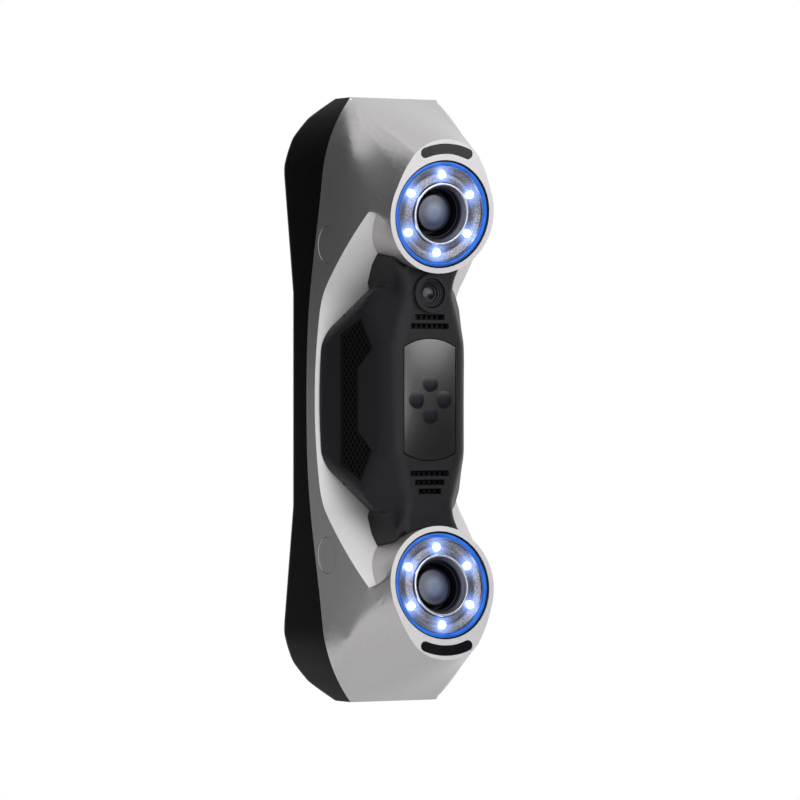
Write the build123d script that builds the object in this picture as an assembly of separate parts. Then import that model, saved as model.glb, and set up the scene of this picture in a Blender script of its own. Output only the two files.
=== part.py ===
import os
from math import asin, cos, radians, sin

from build123d import *

# Handheld three-d scanner: two toed-in camera pods, a projector between them and a grip behind.
# Depths run back from the plane through both lens centres, heights run from the scanner's middle,
# and place() moves every piece so that the tripod socket's mouth is the origin.

# Overall sizes in millimetres, angles in degrees
overall_height = 203.0
body_half_width = 26.0
end_half_width = 16.6
shoulder_rise = 13.5
pod_place_share = 0.606
toe_in_angle = 8.0
wall = 2.2

# Clearances
fit_gap = 0.3
seam = 0.3
overrun = 5.0

# Side profile
end_front_depth = 32.6
end_rear_depth = 46.0
ramp_top_depth = 8.9
ramp_top_rise = 0.7
ramp_foot_depth = 35.5
ramp_height = 27.2
ramp_foot_radius = 20.0
flank_start_depth = 30.0
waist_front_depth = 40.4
waist_rear_depth = 59.2
waist_rear_height = 36.0
bulge_depth = 66.0
bulge_drop = 22.5
heel_depth = 63.5
heel_drop = 12.5
toe_depth = 57.0
toe_drop = 5.5
rear_corner_radius = 8.0
rear_edge_radius = 5.0
ridge_radius = 2.5

# Parting line between the silver front and the black rear
parting_waist_depth = 46.2
parting_hip_depth = 44.6
parting_hip_height = 30.0
parting_pod_depth = 36.8
parting_pod_rise = 5.5

# Camera pod, measured from the lens axis and back from the pod's face
rim_radius = 19.8
lobe_radius = 17.0
lobe_offset = 8.0
lobe_lean_angle = 45.0
rim_low_angle = 8.0
drum_length = 32.0
pod_face_thickness = 5.0
seat_depth = 7.0
seat_thickness = 2.5
accent_radius = 17.75
accent_width = 1.4
accent_recess = 0.3
lamp_board_radius = 17.4
lamp_board_thickness = 1.2
reflector_recess = 1.6
reflector_lip_width = 0.5
reflector_lip_height = 0.6
lamp_count = 6
lamp_circle_radius = 13.0
lamp_radius = 1.4
lamp_recess = 1.5
hood_radius = 10.4
hood_wall = 1.0
hood_bore_step = 0.8
hood_recess = 0.4
barrel_radius = 8.2
barrel_recess = 5.0
flange_radius = 11.5
flange_thickness = 2.0
lens_radius = 6.6
lens_recess = 5.8
lens_rise = 1.8
lens_thickness = 3.2
sensor_depth = 30.3
sensor_width = 9.0
sensor_height = 7.0
sensor_thickness = 1.2
sensor_board_size = 30.0
board_thickness = 1.6
bracket_width = 26.0
bracket_height = 22.0
bracket_wall = 4.0
fill_window_inset = 3.2
fill_window_width = 3.2
fill_window_half_angle = 22.0
fill_window_thickness = 1.4
fill_window_recess = 0.2

# Centre cover, cross-section at the middle and tapers towards the pods
cover_front_depth = 8.3
cover_front_half_width = 12.4
cover_bevel_depth = 13.8
cover_bevel_half_width = 16.75
cover_base_depth = 39.0
cover_side_margin = 1.6
cover_camera_rise = 2.1
taper_start_drop = 2.2
taper_front_half_width = 8.3
taper_front_drop = 1.4
taper_peak_run = 8.0
taper_peak_drop = 2.9
taper_base_rise = 0.8
neck_half_width = 9.5
neck_flare_half_width = 12.5
neck_flare_rise = 9.6
neck_bevel = 2.0
neck_base_depth = 31.0
cavity_end_gap = 0.2
neck_cavity_half_width = 8.3
neck_cavity_depth = 24.0

# Projector behind its smoked window
window_width = 19.6
window_crown = 2.7
window_thickness = 1.6
window_ledge = 1.8
aperture_radius = 2.65
aperture_offset = 5.2
projector_lens_radius = 2.4
projector_lens_rise = 0.9
projector_lens_length = 4.0
projector_lens_setback = 1.0
projector_half_width = 9.5
projector_front_depth = 12.0
projector_wall = 1.6
floor_opening_half_width = 14.0
floor_opening_half_height = 18.0

# Heat sink and cooling fan
sink_depth = 9.4
sink_half_width = 11.0
sink_base_thickness = 2.0
fin_count = 8
fin_thickness = 1.2
fan_half_size = 17.0
fan_depth = 4.6
fan_bore_radius = 14.5
fan_boss_radius = 5.0
fan_strut_width = 2.0
fan_strut_count = 3
fan_strut_thickness = 1.0
fan_axle_radius = 1.0
fan_axle_gap = 0.06
fan_hub_radius = 6.0
fan_hub_cap = 0.6
fan_blade_radius = 13.8
fan_blade_count = 7
fan_blade_thickness = 0.9
fan_blade_pitch_angle = 35.0
fan_run_gap = 0.4

# Vent slots and grilles
slot_height = 1.9
slot_widths = (14.7, 11.3, 8.7)
slot_window_gap = 4.3
slot_pitch = 3.0
upper_slot_count = 2
lower_slot_count = 3
screen_half_width = 8.0
screen_thickness = 0.6
screen_margin = 1.0
cell_run = 2.03
cell_height = 2.8
cell_rib = 0.55
grille_thickness = 0.8
grille_recess = 0.2
grille_border = 0.7
grille_outer_run = 17.4
grille_wing_run = 2.6
grille_peak_run = 7.9
grille_waist_run = 9.2
grille_peak_drop = 5.3
grille_corner_share = 0.79
grille_wing_share = 0.625
grille_waist_share = 0.386

# Colour camera above the window
colour_pod_gap = 6.3
colour_slot_gap = 0.55
colour_boss_radius = 6.4
colour_boss_depth = 6.8
colour_bore_radius = 5.0
colour_bezel_wall = 1.2
colour_bezel_recess = 0.8
colour_lens_radius = 3.2
colour_lens_recess = 1.6
colour_lens_rise = 0.7
colour_body_half_size = 5.0
colour_body_depth = 7.0

# Optical frame that ties the cameras together
frame_depth = 43.4
frame_thickness = 2.5
frame_side_gap = 4.5
frame_end_gap = 19.5
lug_thickness = 2.5
lug_setback = 4.0
lug_front_depth = 28.4
lug_half_height = 6.0
post_radius = 2.0
post_height = 2.1

# Side screws under round plugs
plug_depth = 32.0
plug_drop = 9.5
plug_radius = 6.0
plug_thickness = 1.2
plug_recess = 0.1
plug_gap = 0.15
plug_boss_radius = 7.2
side_head_radius = 2.8
side_head_height = 1.6
side_head_clearance = 0.2
side_shank_radius = 1.2
side_shank_reach = 3.0
shank_gap = 0.1

# Rear screws into the optical frame
rear_screw_inset = 8.0
rear_screw_drop = 10.0
rear_boss_radius = 3.4
rear_head_radius = 2.4
rear_head_height = 1.6
rear_head_sink = 0.6
rear_shank_radius = 1.25

# Circuit boards in the rear shell
board_side_gap = 1.6
board_low = 23.0
board_post_inset = 3.0
board_end_gap = 11.5
chip_sizes = ((14.0, 14.0, 2.2), (10.0, 12.0, 1.4), (16.0, 6.0, 1.8))
chip_rises = (11.0, 27.0, 38.5)

# Data socket in the lower end
usb_width = 9.2
usb_thickness = 3.4
usb_length = 8.0
usb_wall = 0.4
usb_setback = 3.9
usb_tongue_width = 6.7
usb_tongue_thickness = 0.7
usb_tongue_length = 5.0
usb_hole_gap = 0.35

# Tripod socket in the lower end
socket_depth = 39.6
socket_bore_radius = 2.6
socket_bore_length = 9.0
insert_radius = 4.4
insert_length = 10.5
insert_boss_radius = 5.8
insert_boss_wall = 1.5

# Keys in the grip panel
panel_side_margin = 2.5
panel_half_height = 27.0
panel_corner_radius = 6.0
panel_thickness = 1.2
scan_key_radius = 6.0
rocker_key_radius = 4.0
side_key_radius = 3.6
rocker_key_gap = 3.5
side_key_gap = 2.8
key_stand = 0.8
key_edge_radius = 0.4
key_flange = 0.9
key_flange_thickness = 1.0
key_stem_radius = 1.5
key_stem_length = 1.2
key_travel = 0.7
switch_size = 4.0
switch_height = 1.5
keypad_board_inset = 1.3
keypad_board_half_height = 20.5
keypad_board_thickness = 1.2
keypad_post_radius = 1.6
keypad_post_inset = 2.0
status_radius = 1.2
status_height = 22.0

# Heights and widths that follow from the sizes above
half_height = overall_height / 2
pod_height = half_height * pod_place_share
shoulder_height = pod_height + shoulder_rise
ramp_top_height = pod_height + ramp_top_rise
ramp_foot_height = ramp_top_height - ramp_height
bulge_height = half_height - bulge_drop
heel_height = half_height - heel_drop
toe_height = half_height - toe_drop
parting_pod_height = pod_height + parting_pod_rise
fill_window_radius = lobe_offset + lobe_radius - fill_window_inset
colour_height = pod_height - rim_radius - colour_pod_gap
upper_slot_height = colour_height - colour_boss_radius - colour_slot_gap - slot_height / 2
slot_start_height = upper_slot_height - slot_pitch * (upper_slot_count - 1)
window_half_height = slot_start_height - slot_window_gap
cover_base_half_width = body_half_width - cover_side_margin
cover_half_height = colour_height + cover_camera_rise
cover_cavity_half_height = window_half_height - cavity_end_gap
neck_cavity_height = colour_height + colour_body_half_size + cavity_end_gap
neck_flare_height = colour_height + neck_flare_rise
taper_start_height = window_half_height - taper_start_drop
taper_front_height = colour_height - taper_front_drop
taper_peak_height = colour_height - taper_peak_drop
taper_base_height = window_half_height + taper_base_rise
grille_peak_height = taper_peak_height - grille_peak_drop
projector_half_height = aperture_offset + aperture_radius + projector_wall
frame_half_width = body_half_width - frame_side_gap
frame_half_height = half_height - frame_end_gap
lug_face = body_half_width - lug_setback
plug_height = pod_height - plug_drop
side_shank_end = lug_face - side_shank_reach
rear_screw_width = body_half_width - rear_screw_inset
rear_screw_height = frame_half_height - rear_screw_drop
board_half_width = rear_screw_width - rear_boss_radius - board_side_gap
board_end_height = half_height - board_end_gap
usb_mouth_height = half_height - usb_setback
rocker_key_height = scan_key_radius + rocker_key_radius + rocker_key_gap
side_key_width = scan_key_radius + side_key_radius + side_key_gap
panel_half_width = side_key_width + side_key_radius + panel_side_margin
keypad_board_half_width = panel_half_width - keypad_board_inset

# Depths and planes that follow from the sizes above
toe_in = radians(toe_in_angle)
upper_pod = Plane(origin=(0, 0, pod_height), x_dir=(1, 0, 0), z_dir=(0, -cos(toe_in), -sin(toe_in)))
seat_back = seat_depth + seat_thickness
frame_rear_depth = frame_depth + frame_thickness
projector_rear_depth = frame_depth - sink_depth
rear_inner_depth = waist_rear_depth - wall
cover_inner_depth = cover_front_depth + wall
key_flange_rear = rear_inner_depth - fit_gap
key_flange_front = key_flange_rear - key_flange_thickness
key_stem_front = key_flange_front - key_stem_length
switch_rear_depth = key_stem_front - key_travel - fit_gap
keypad_board_rear = switch_rear_depth - switch_height
board_depth = frame_rear_depth + post_height
board_rear_depth = board_depth + board_thickness


def disc(radius, back, front):
    """Round slab on the local Z axis."""
    return Pos(0, 0, back) * Cylinder(radius, front - back, align=(Align.CENTER, Align.CENTER, Align.MIN))


def ring(outer, inner, back, front):
    """Round slab with a bore through it."""
    return disc(outer, back, front) - disc(inner, back - overrun, front + overrun)


def block(left, right, front, rear, low, high):
    """Box between six faces."""
    size = Box(right - left, rear - front, high - low, align=(Align.MIN, Align.MIN, Align.MIN))
    return Pos(left, front, low) * size


def rod(radius, across, height, front, rear):
    """Round bar that runs back along the depth."""
    plane = Plane(origin=(across, front, height), x_dir=(1, 0, 0), z_dir=(0, 1, 0))
    return plane.location * disc(radius, 0, rear - front)


def side_rod(radius, depth, height, inner, outer):
    """Round bar that runs to the right, along the width."""
    plane = Plane(origin=(inner, depth, height), x_dir=(0, 1, 0), z_dir=(1, 0, 0))
    return plane.location * disc(radius, 0, outer - inner)


def facing_front(depth):
    """Plane at a depth, with its normal to the front and heights upwards."""
    return Plane(origin=(0, depth, 0), x_dir=(1, 0, 0), z_dir=(0, -1, 0))


def facing_rear(depth):
    """Plane at a depth, with its normal to the rear and heights upwards."""
    return Plane(origin=(0, depth, 0), x_dir=(-1, 0, 0), z_dir=(0, 1, 0))


def front_outline(inset):
    """Outline of the body seen from the front, with the ends drawn in."""
    top = half_height - inset
    end = end_half_width - inset
    side = body_half_width - inset
    with BuildSketch() as sketch:
        with BuildLine():
            Line((-end, top), (end, top))
            TangentArc((side, shoulder_height), (end, top), tangent=(0, 1))
            Line((side, shoulder_height), (side, -shoulder_height))
            TangentArc((side, -shoulder_height), (end, -top), tangent=(0, -1))
            Line((end, -top), (-end, -top))
            TangentArc((-side, -shoulder_height), (-end, -top), tangent=(0, -1))
            Line((-side, -shoulder_height), (-side, shoulder_height))
            TangentArc((-side, shoulder_height), (-end, top), tangent=(0, 1))
        make_face()
    return sketch.sketch


def side_profile(inset):
    """Profile of the body seen from the side: sloped ends, a valley in front, a waist behind."""
    upper = [
        (end_rear_depth, half_height),
        (toe_depth, toe_height),
        (heel_depth, heel_height),
        (bulge_depth, bulge_height),
        (waist_rear_depth, waist_rear_height),
    ]
    lower = [(depth, -height) for depth, height in reversed(upper)]
    valley = [
        (ramp_foot_depth, ramp_foot_height),
        (ramp_top_depth, ramp_top_height),
        (end_front_depth, half_height),
        upper[0],
    ]
    with BuildSketch() as sketch:
        with BuildLine():
            FilletPolyline(*upper, *lower, radius=rear_corner_radius)
            Polyline(*[(depth, -height) for depth, height in valley])
            ThreePointArc(
                (ramp_foot_depth, -ramp_foot_height),
                (waist_front_depth, 0),
                (ramp_foot_depth, ramp_foot_height),
            )
            Polyline(*valley)
        make_face()
    profile = sketch.sketch
    if inset:
        profile = offset(profile, amount=-inset, kind=Kind.INTERSECTION)
    feet = [
        min(profile.vertices(), key=lambda corner: (corner.center() - foot).length)
        for foot in (Vector(ramp_foot_depth, ramp_foot_height), Vector(ramp_foot_depth, -ramp_foot_height))
    ]
    return fillet(feet, ramp_foot_radius + inset)


def plan_outline(inset):
    """Outline of the body seen from above: straight sides that draw in to the width of the pods' rims."""
    side = body_half_width - inset
    nose = rim_radius - inset
    rear = bulge_depth + overrun
    with BuildSketch() as sketch:
        with BuildLine():
            Polyline((-side, flank_start_depth), (-side, rear), (side, rear), (side, flank_start_depth))
            TangentArc((side, flank_start_depth), (nose, 0), tangent=(0, -1))
            Line((nose, 0), (-nose, 0))
            TangentArc((-side, flank_start_depth), (-nose, 0), tangent=(0, -1))
        make_face()
    return sketch.sketch


def body_solid(inset):
    """Body without its pods, drawn in on all sides by the inset."""
    profile = extrude(Plane.YZ * side_profile(inset), amount=body_half_width + overrun, both=True)
    plan = extrude(plan_outline(inset), amount=overall_height, both=True)
    reach = bulge_depth + overrun
    return profile & plan & extrude(facing_front(reach) * front_outline(inset), amount=reach + overrun)


def rim_outline(inset):
    """Egg-shaped outline of the pod's face: the lens circle and a lobe towards the scanner's end."""
    rim = rim_radius - inset
    lobe = lobe_radius - inset
    lean = radians(lobe_lean_angle)
    fall = radians(rim_low_angle)
    half_fall = fall / 2
    corner = (lobe * sin(lean), lobe_offset + lobe * cos(lean))
    tangent_angle = asin((rim - lobe) / lobe_offset)
    middle = (rim + lobe) / 2
    flank = (middle * cos(tangent_angle), middle * sin(tangent_angle) + lobe_offset / 2)
    low_flank = (rim * cos(half_fall), -rim * sin(half_fall))
    low = (rim * cos(fall), -rim * sin(fall))
    arcs = [
        ThreePointArc((-corner[0], corner[1]), (0, lobe_offset + lobe), corner),
        ThreePointArc(corner, flank, (rim, 0)),
        ThreePointArc((rim, 0), low_flank, low),
        ThreePointArc(low, (0, -rim), (-low[0], low[1])),
        ThreePointArc((-low[0], low[1]), (-low_flank[0], low_flank[1]), (-rim, 0)),
        ThreePointArc((-rim, 0), (-flank[0], flank[1]), (-corner[0], corner[1])),
    ]
    return Face(Wire(arcs))


def pod_cone(body, inset, setback):
    """Cone that turns the body's sloped end face into the pod's round rim."""
    slope = Vector(0, ramp_top_height - half_height, end_front_depth - ramp_top_depth).normalized()
    base = max(body.faces(), key=lambda face: face.normal_at().dot(slope))
    rim = upper_pod.offset(-setback).location * rim_outline(inset)
    cone = loft([base, rim], ruled=True)
    ridges = [
        edge for edge in cone.edges().filter_by(GeomType.BSPLINE)
        if edge.center().Z > pod_height + rim_radius
    ]
    return fillet(ridges, ridge_radius)


def both_ends(shape):
    """The upper piece and the same piece turned to the lower end."""
    return shape, Rot(0, 180, 0) * shape


def parting_region(gap, side):
    """Space in front of the parting line (side -1) or behind it (side 1)."""
    far = side * (bulge_depth + overrun) * 2
    line = [
        (end_front_depth + gap, half_height + overrun),
        (end_front_depth + gap, half_height),
        (parting_pod_depth + gap, parting_pod_height),
        (parting_hip_depth + gap, parting_hip_height),
        (parting_waist_depth + gap, 0),
    ]
    lower = [(depth, -height) for depth, height in reversed(line[:-1])]
    curve = line[1:] + lower[:-1]
    with BuildSketch() as sketch:
        with BuildLine():
            Spline(*curve)
            Polyline(curve[-1], lower[-1], (far, lower[-1][1]), (far, line[0][1]), line[0], curve[0])
        make_face()
    return extrude(Plane.YZ * sketch.sketch, amount=body_half_width * 2, both=True)


def fill_window_sketch(gap):
    """Kidney-shaped slot in the pod's lobe."""
    start = 90 - fill_window_half_angle
    middle_line = CenterArc((0, 0), fill_window_radius, start, fill_window_half_angle * 2)
    return SlotArc(middle_line, fill_window_width + gap * 2)


def mirrored_places(across, height):
    """The four places at plus and minus a width and a height."""
    return [(side * across, end * height) for side in (1, -1) for end in (1, -1)]


def at_side(shape, side):
    """A piece of the right side, or its mirror image on the left."""
    if side > 0:
        return shape
    return mirror(shape, about=Plane.YZ)


def front_shell():
    """Silver front: valley, side walls, two pods with seats for lamps and lens."""
    body = body_solid(0)
    inner_body = body_solid(wall)
    drum = upper_pod.location * disc(rim_radius, -drum_length, 0)
    inner_drum = upper_pod.location * disc(rim_radius - wall, -drum_length, -seat_back)
    seat = upper_pod.location * disc(rim_radius, -seat_back, 0)
    flank_foot = block(
        -body_half_width, body_half_width, -overrun, end_front_depth, 0, ramp_top_height + wall
    )
    hollow_cone = pod_cone(inner_body, wall, pod_face_thickness) - seat - flank_foot
    pocket = upper_pod.location * disc(accent_radius + fit_gap, -seat_depth, overrun)
    lens_hole = upper_pod.location * disc(hood_radius - hood_wall + fit_gap, -seat_back - overrun, 0)
    window_floor = fill_window_thickness + fill_window_recess
    window_pocket = extrude(upper_pod * fill_window_sketch(fit_gap / 2), amount=window_floor, both=True)
    shell = body
    for outer in (*both_ends(pod_cone(body, 0, 0)), *both_ends(drum)):
        shell += outer
    for hollow in (inner_body, *both_ends(hollow_cone), *both_ends(inner_drum)):
        shell -= hollow
    cuts = []
    for cut in (pocket, lens_hole, window_pocket):
        cuts += both_ends(cut)
    boss_inner = lug_face
    boss_outer = body_half_width - wall / 2
    plug_floor = body_half_width - plug_recess - plug_thickness
    head_floor = plug_floor - side_head_height - side_head_clearance
    for side in (1, -1):
        for height in (plug_height, -plug_height):
            shell += at_side(side_rod(plug_boss_radius, plug_depth, height, boss_inner, boss_outer), side)
            for radius, inner in (
                (plug_radius + plug_gap, plug_floor),
                (side_head_radius + side_head_clearance, head_floor),
                (side_shank_radius + shank_gap, boss_inner - overrun),
            ):
                hole = side_rod(radius, plug_depth, height, inner, body_half_width + overrun)
                cuts.append(at_side(hole, side))
    cuts.append(
        block(
            -floor_opening_half_width,
            floor_opening_half_width,
            waist_front_depth - overrun * 2,
            waist_front_depth + overrun,
            -floor_opening_half_height,
            floor_opening_half_height,
        )
    )
    return (shell & parting_region(0, -1)) - cuts


def key_places():
    """Radius and place of each key: scan, plus, minus, left and right."""
    return {
        "scan_key": (scan_key_radius, 0, 0),
        "plus_key": (rocker_key_radius, 0, rocker_key_height),
        "minus_key": (rocker_key_radius, 0, -rocker_key_height),
        "left_key": (side_key_radius, side_key_width, 0),
        "right_key": (side_key_radius, -side_key_width, 0),
    }


def rear_shell():
    """Black rear: waisted grip with screw bosses, key holes, socket boss and data socket hole."""
    body = body_solid(0)
    rear_edges = [
        edge
        for edge in body.edges()
        if edge.center().Y > end_rear_depth and abs(edge.center().X) > end_half_width / 2
    ]
    body = fillet(rear_edges, rear_edge_radius)
    shell = (body - body_solid(wall)) & parting_region(seam, 1)
    cuts = []
    for across, height in mirrored_places(rear_screw_width, rear_screw_height):
        boss = rod(rear_boss_radius, across, height, frame_rear_depth, bulge_depth) & body
        shell += boss
        head_rear = rear_wall_depth(rear_screw_height) - rear_head_sink
        head_front = head_rear - rear_head_height
        cuts.append(rod(rear_head_radius + fit_gap, across, height, head_front, bulge_depth + overrun))
        cuts.append(rod(rear_shank_radius + shank_gap, across, height, frame_depth, head_rear))
    for across, height in mirrored_places(
        keypad_board_half_width - keypad_post_inset, keypad_board_half_height - keypad_post_inset
    ):
        shell += rod(keypad_post_radius, across, height, keypad_board_rear, rear_inner_depth)
    insert_top = -half_height + insert_length
    shell += Pos(0, socket_depth, 0) * disc(insert_boss_radius, -half_height, insert_top + insert_boss_wall)
    cuts.append(Pos(0, socket_depth, 0) * disc(insert_radius, -half_height - overrun, insert_top))
    for radius, across, height in key_places().values():
        cuts.append(rod(radius + fit_gap, across, height, rear_inner_depth - overrun, bulge_depth))
    cuts.append(rod(status_radius + fit_gap, 0, status_height, rear_inner_depth - overrun, bulge_depth))
    pocket = facing_rear(waist_rear_depth - panel_thickness) * panel_outline(fit_gap / 2)
    cuts.append(extrude(pocket, amount=overrun))
    usb_half_width = usb_width / 2 + usb_hole_gap
    cuts.append(
        block(
            -usb_half_width,
            usb_half_width,
            board_rear_depth - usb_hole_gap,
            board_rear_depth + usb_thickness + usb_hole_gap,
            -half_height - overrun,
            -board_end_height,
        )
    )
    return shell - cuts


def rear_wall_depth(height):
    """Depth of the rear face between the waist and the bulge."""
    share = (height - waist_rear_height) / (bulge_height - waist_rear_height)
    return waist_rear_depth + share * (bulge_depth - waist_rear_depth)


def panel_outline(gap):
    """Rounded rectangle of the key panel."""
    width = (panel_half_width + gap) * 2
    return RectangleRounded(width, (panel_half_height + gap) * 2, panel_corner_radius + gap)


def keypad_panel():
    """Soft panel let into the waist, with holes for the keys and the status light."""
    floor = facing_rear(waist_rear_depth - panel_thickness)
    sheet = extrude(floor * panel_outline(0), amount=panel_thickness)
    holes = [(radius + fit_gap, across, height) for radius, across, height in key_places().values()]
    holes.append((status_radius + fit_gap, 0, status_height))
    for radius, across, height in holes:
        sheet -= rod(radius, across, height, rear_inner_depth, bulge_depth)
    return sheet


def key(radius, across, height):
    """Key cap with a flange behind the wall and a stem to its switch."""
    cap = rod(radius, across, height, key_flange_front, waist_rear_depth + key_stand)
    cap = fillet(cap.faces().sort_by(Axis.Y)[-1].edges(), key_edge_radius)
    cap += rod(radius + key_flange, across, height, key_flange_front, key_flange_rear)
    return cap + rod(key_stem_radius, across, height, key_stem_front, key_flange_front)


def key_switches():
    """One small square switch under each key."""
    half = switch_size / 2
    switch = block(-half, half, keypad_board_rear, switch_rear_depth, -half, half)
    return [Pos(across, 0, height) * switch for radius, across, height in key_places().values()]


def keypad_board():
    """Board that carries the key switches."""
    return block(
        -keypad_board_half_width,
        keypad_board_half_width,
        keypad_board_rear - keypad_board_thickness,
        keypad_board_rear,
        -keypad_board_half_height,
        keypad_board_half_height,
    )


def status_light():
    """Light pipe above the keys, standing on the shell's inner face."""
    pipe = rod(status_radius, 0, status_height, rear_inner_depth - fit_gap, waist_rear_depth)
    head = status_radius + key_flange
    flange_front = key_flange_rear - key_flange_thickness
    return pipe + rod(head, 0, status_height, flange_front, rear_inner_depth - fit_gap)


def accent_ring():
    """Blue light guide round the lamps."""
    back = lamp_board_thickness - seat_depth
    return ring(accent_radius, accent_radius - accent_width, back, -accent_recess)


def lamp_places():
    """Places of the lamps round the lens, one at the top."""
    return PolarLocations(lamp_circle_radius, lamp_count, start_angle=90)


def lamp_reflector():
    """Dished ring between hood and accent ring, with a hole for each lamp and a raised lip."""
    outer = accent_radius - accent_width - fit_gap
    back = lamp_board_thickness - seat_depth
    lip_inner = outer - reflector_lip_width
    dish = ring(outer, hood_radius + fit_gap, back, -reflector_recess)
    dish += ring(outer, lip_inner, -reflector_recess, reflector_lip_height - reflector_recess)
    for spot in lamp_places():
        dish -= spot * disc(lamp_radius + fit_gap, -seat_depth, 0)
    return dish


def lamp_leds():
    """Six domed lamps standing on their board."""
    back = lamp_board_thickness - seat_depth
    post = disc(lamp_radius, back, -lamp_recess - lamp_radius)
    lamp = post + Pos(0, 0, -lamp_recess - lamp_radius) * Sphere(lamp_radius)
    return [spot * lamp for spot in lamp_places()]


def lamp_board():
    """Ring-shaped board that lies on the pod's seat."""
    return ring(lamp_board_radius, hood_radius + fit_gap, -seat_depth, lamp_board_thickness - seat_depth)


def lens_hood():
    """Silver ring round the lens with a tapered bore."""
    length = seat_depth - hood_recess
    mouth = hood_radius - hood_wall
    taper = Pos(0, 0, -seat_depth) * Cone(
        mouth - hood_bore_step, mouth, length, align=(Align.CENTER, Align.CENTER, Align.MIN)
    )
    return disc(hood_radius, -seat_depth, -hood_recess) - taper


def lens_barrel():
    """Black barrel from the hood back to the image sensor, with a flange behind the seat."""
    barrel = disc(barrel_radius, -sensor_depth, -barrel_recess)
    barrel += disc(flange_radius, -seat_back - flange_thickness, -seat_back)
    return barrel - disc(lens_radius + shank_gap, -sensor_depth - overrun, 0)


def domed_lens(radius, rise, thickness, front):
    """Lens with a crowned front face."""
    ball_radius = (radius * radius + rise * rise) / (rise * 2)
    crown = Pos(0, 0, front - ball_radius) * Sphere(ball_radius)
    return disc(radius, front - thickness, front) & crown


def lens_glass():
    """Front lens in the barrel."""
    return domed_lens(lens_radius, lens_rise, lens_thickness, -lens_recess)


def image_sensor():
    """Sensor chip on its board, inside the barrel."""
    half_width = sensor_width / 2
    half_tall = sensor_height / 2
    low = -sensor_depth
    return block(-half_width, half_width, -half_tall, half_tall, low, low + sensor_thickness)


def sensor_board():
    """Square board behind the barrel."""
    half = sensor_board_size / 2
    return block(-half, half, -half, half, -sensor_depth - board_thickness, -sensor_depth)


def camera_bracket():
    """Rectangular tube that carries the sensor board on the optical frame."""
    half_width = bracket_width / 2
    half_tall = bracket_height / 2
    rear = -sensor_depth - board_thickness
    reach = rear - frame_depth
    tube = block(-half_width, half_width, -half_tall, half_tall, reach, rear)
    inner_width = half_width - bracket_wall
    inner_tall = half_tall - bracket_wall
    tube -= block(-inner_width, inner_width, -inner_tall, inner_tall, reach - overrun, rear + overrun)
    front_space = block(
        -body_half_width, body_half_width, -overrun, frame_depth, -half_height, half_height
    )
    return (upper_pod.location * tube) & front_space


def fill_window():
    """Smoked kidney-shaped window in the pod's lobe."""
    back = -fill_window_thickness - fill_window_recess
    return extrude(Pos(0, 0, back) * fill_window_sketch(0), amount=fill_window_thickness)


def cover_section(inset):
    """Cross-section of the centre cover, seen from above."""
    right = [
        (cover_front_half_width - inset, cover_front_depth + inset),
        (cover_bevel_half_width - inset, cover_bevel_depth + inset),
        (cover_base_half_width - inset, cover_base_depth),
        (cover_base_half_width - inset, waist_front_depth + overrun),
    ]
    left = [(-across, depth) for across, depth in reversed(right)]
    return make_face(Polyline(*right, *left, close=True))


def facet_point(run, height):
    """Point on the cover's right side facet, a run back from its front edge."""
    rise = cover_base_half_width - cover_bevel_half_width
    length = cover_base_depth - cover_bevel_depth
    share = run / (rise * rise + length * length) ** 0.5
    return Vector(cover_bevel_half_width + share * rise, cover_bevel_depth + share * length, height)


def beyond(first, second, third):
    """Large block on the outer side of the plane through three points."""
    normal = (second - first).cross(third - first).normalized()
    if normal.dot(first) < 0:
        normal = -normal
    plane = Plane(origin=(first.X, first.Y, first.Z), z_dir=(normal.X, normal.Y, normal.Z))
    size = overall_height
    return plane.location * Box(size, size, size, align=(Align.CENTER, Align.CENTER, Align.MIN))


def cover_neck():
    """Narrow neck of the cover, flared towards the pods."""
    waist = taper_front_height
    half_outline = [
        (neck_half_width, 0),
        (neck_half_width, waist),
        (neck_flare_half_width, neck_flare_height),
        (neck_flare_half_width, neck_flare_height + overrun),
    ]
    upper = half_outline + [(-across, height) for across, height in reversed(half_outline)]
    outline = make_face(Polyline(*upper, close=True))
    depth = neck_base_depth - cover_front_depth
    neck = extrude(facing_front(neck_base_depth) * outline, amount=depth)
    front_edges = [
        edge
        for edge in neck.faces().sort_by(Axis.Y)[0].edges()
        if abs(edge.center().X) > neck_half_width / 2
    ]
    return chamfer(front_edges, neck_bevel)


def cover_blank():
    """Faceted outer form of the centre cover, before it is hollowed and fitted to the shell."""
    form = extrude(cover_section(0), amount=cover_half_height, both=True)
    edge = facet_point(0, taper_start_height)
    peak = facet_point(taper_peak_run, taper_peak_height)
    front = Vector(taper_front_half_width, cover_front_depth, taper_front_height)
    base = Vector(cover_base_half_width, cover_base_depth, taper_base_height)
    neck = Vector(neck_half_width, neck_base_depth, cover_half_height)
    for cut in (beyond(edge, peak, front), beyond(peak, base, neck)):
        for side_cut in (cut, mirror(cut, about=Plane.YZ)):
            form -= side_cut
            form -= mirror(side_cut, about=Plane.XY)
    for piece in both_ends(cover_neck()):
        form += piece
    return form


def window_outline(gap, shrink):
    """Upright window with arched ends."""
    half = window_width / 2 + gap - shrink
    crown = window_half_height + gap - shrink
    side = crown - window_crown
    with BuildSketch() as sketch:
        with BuildLine():
            Line((half, -side), (half, side))
            ThreePointArc((half, side), (0, crown), (-half, side))
            Line((-half, side), (-half, -side))
            ThreePointArc((-half, -side), (0, -crown), (half, -side))
        make_face()
    return sketch.sketch


def slot_heights(count, side):
    """Heights of the vent slots on one side of the window."""
    return [side * (slot_start_height + slot_pitch * index) for index in range(count)]


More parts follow.
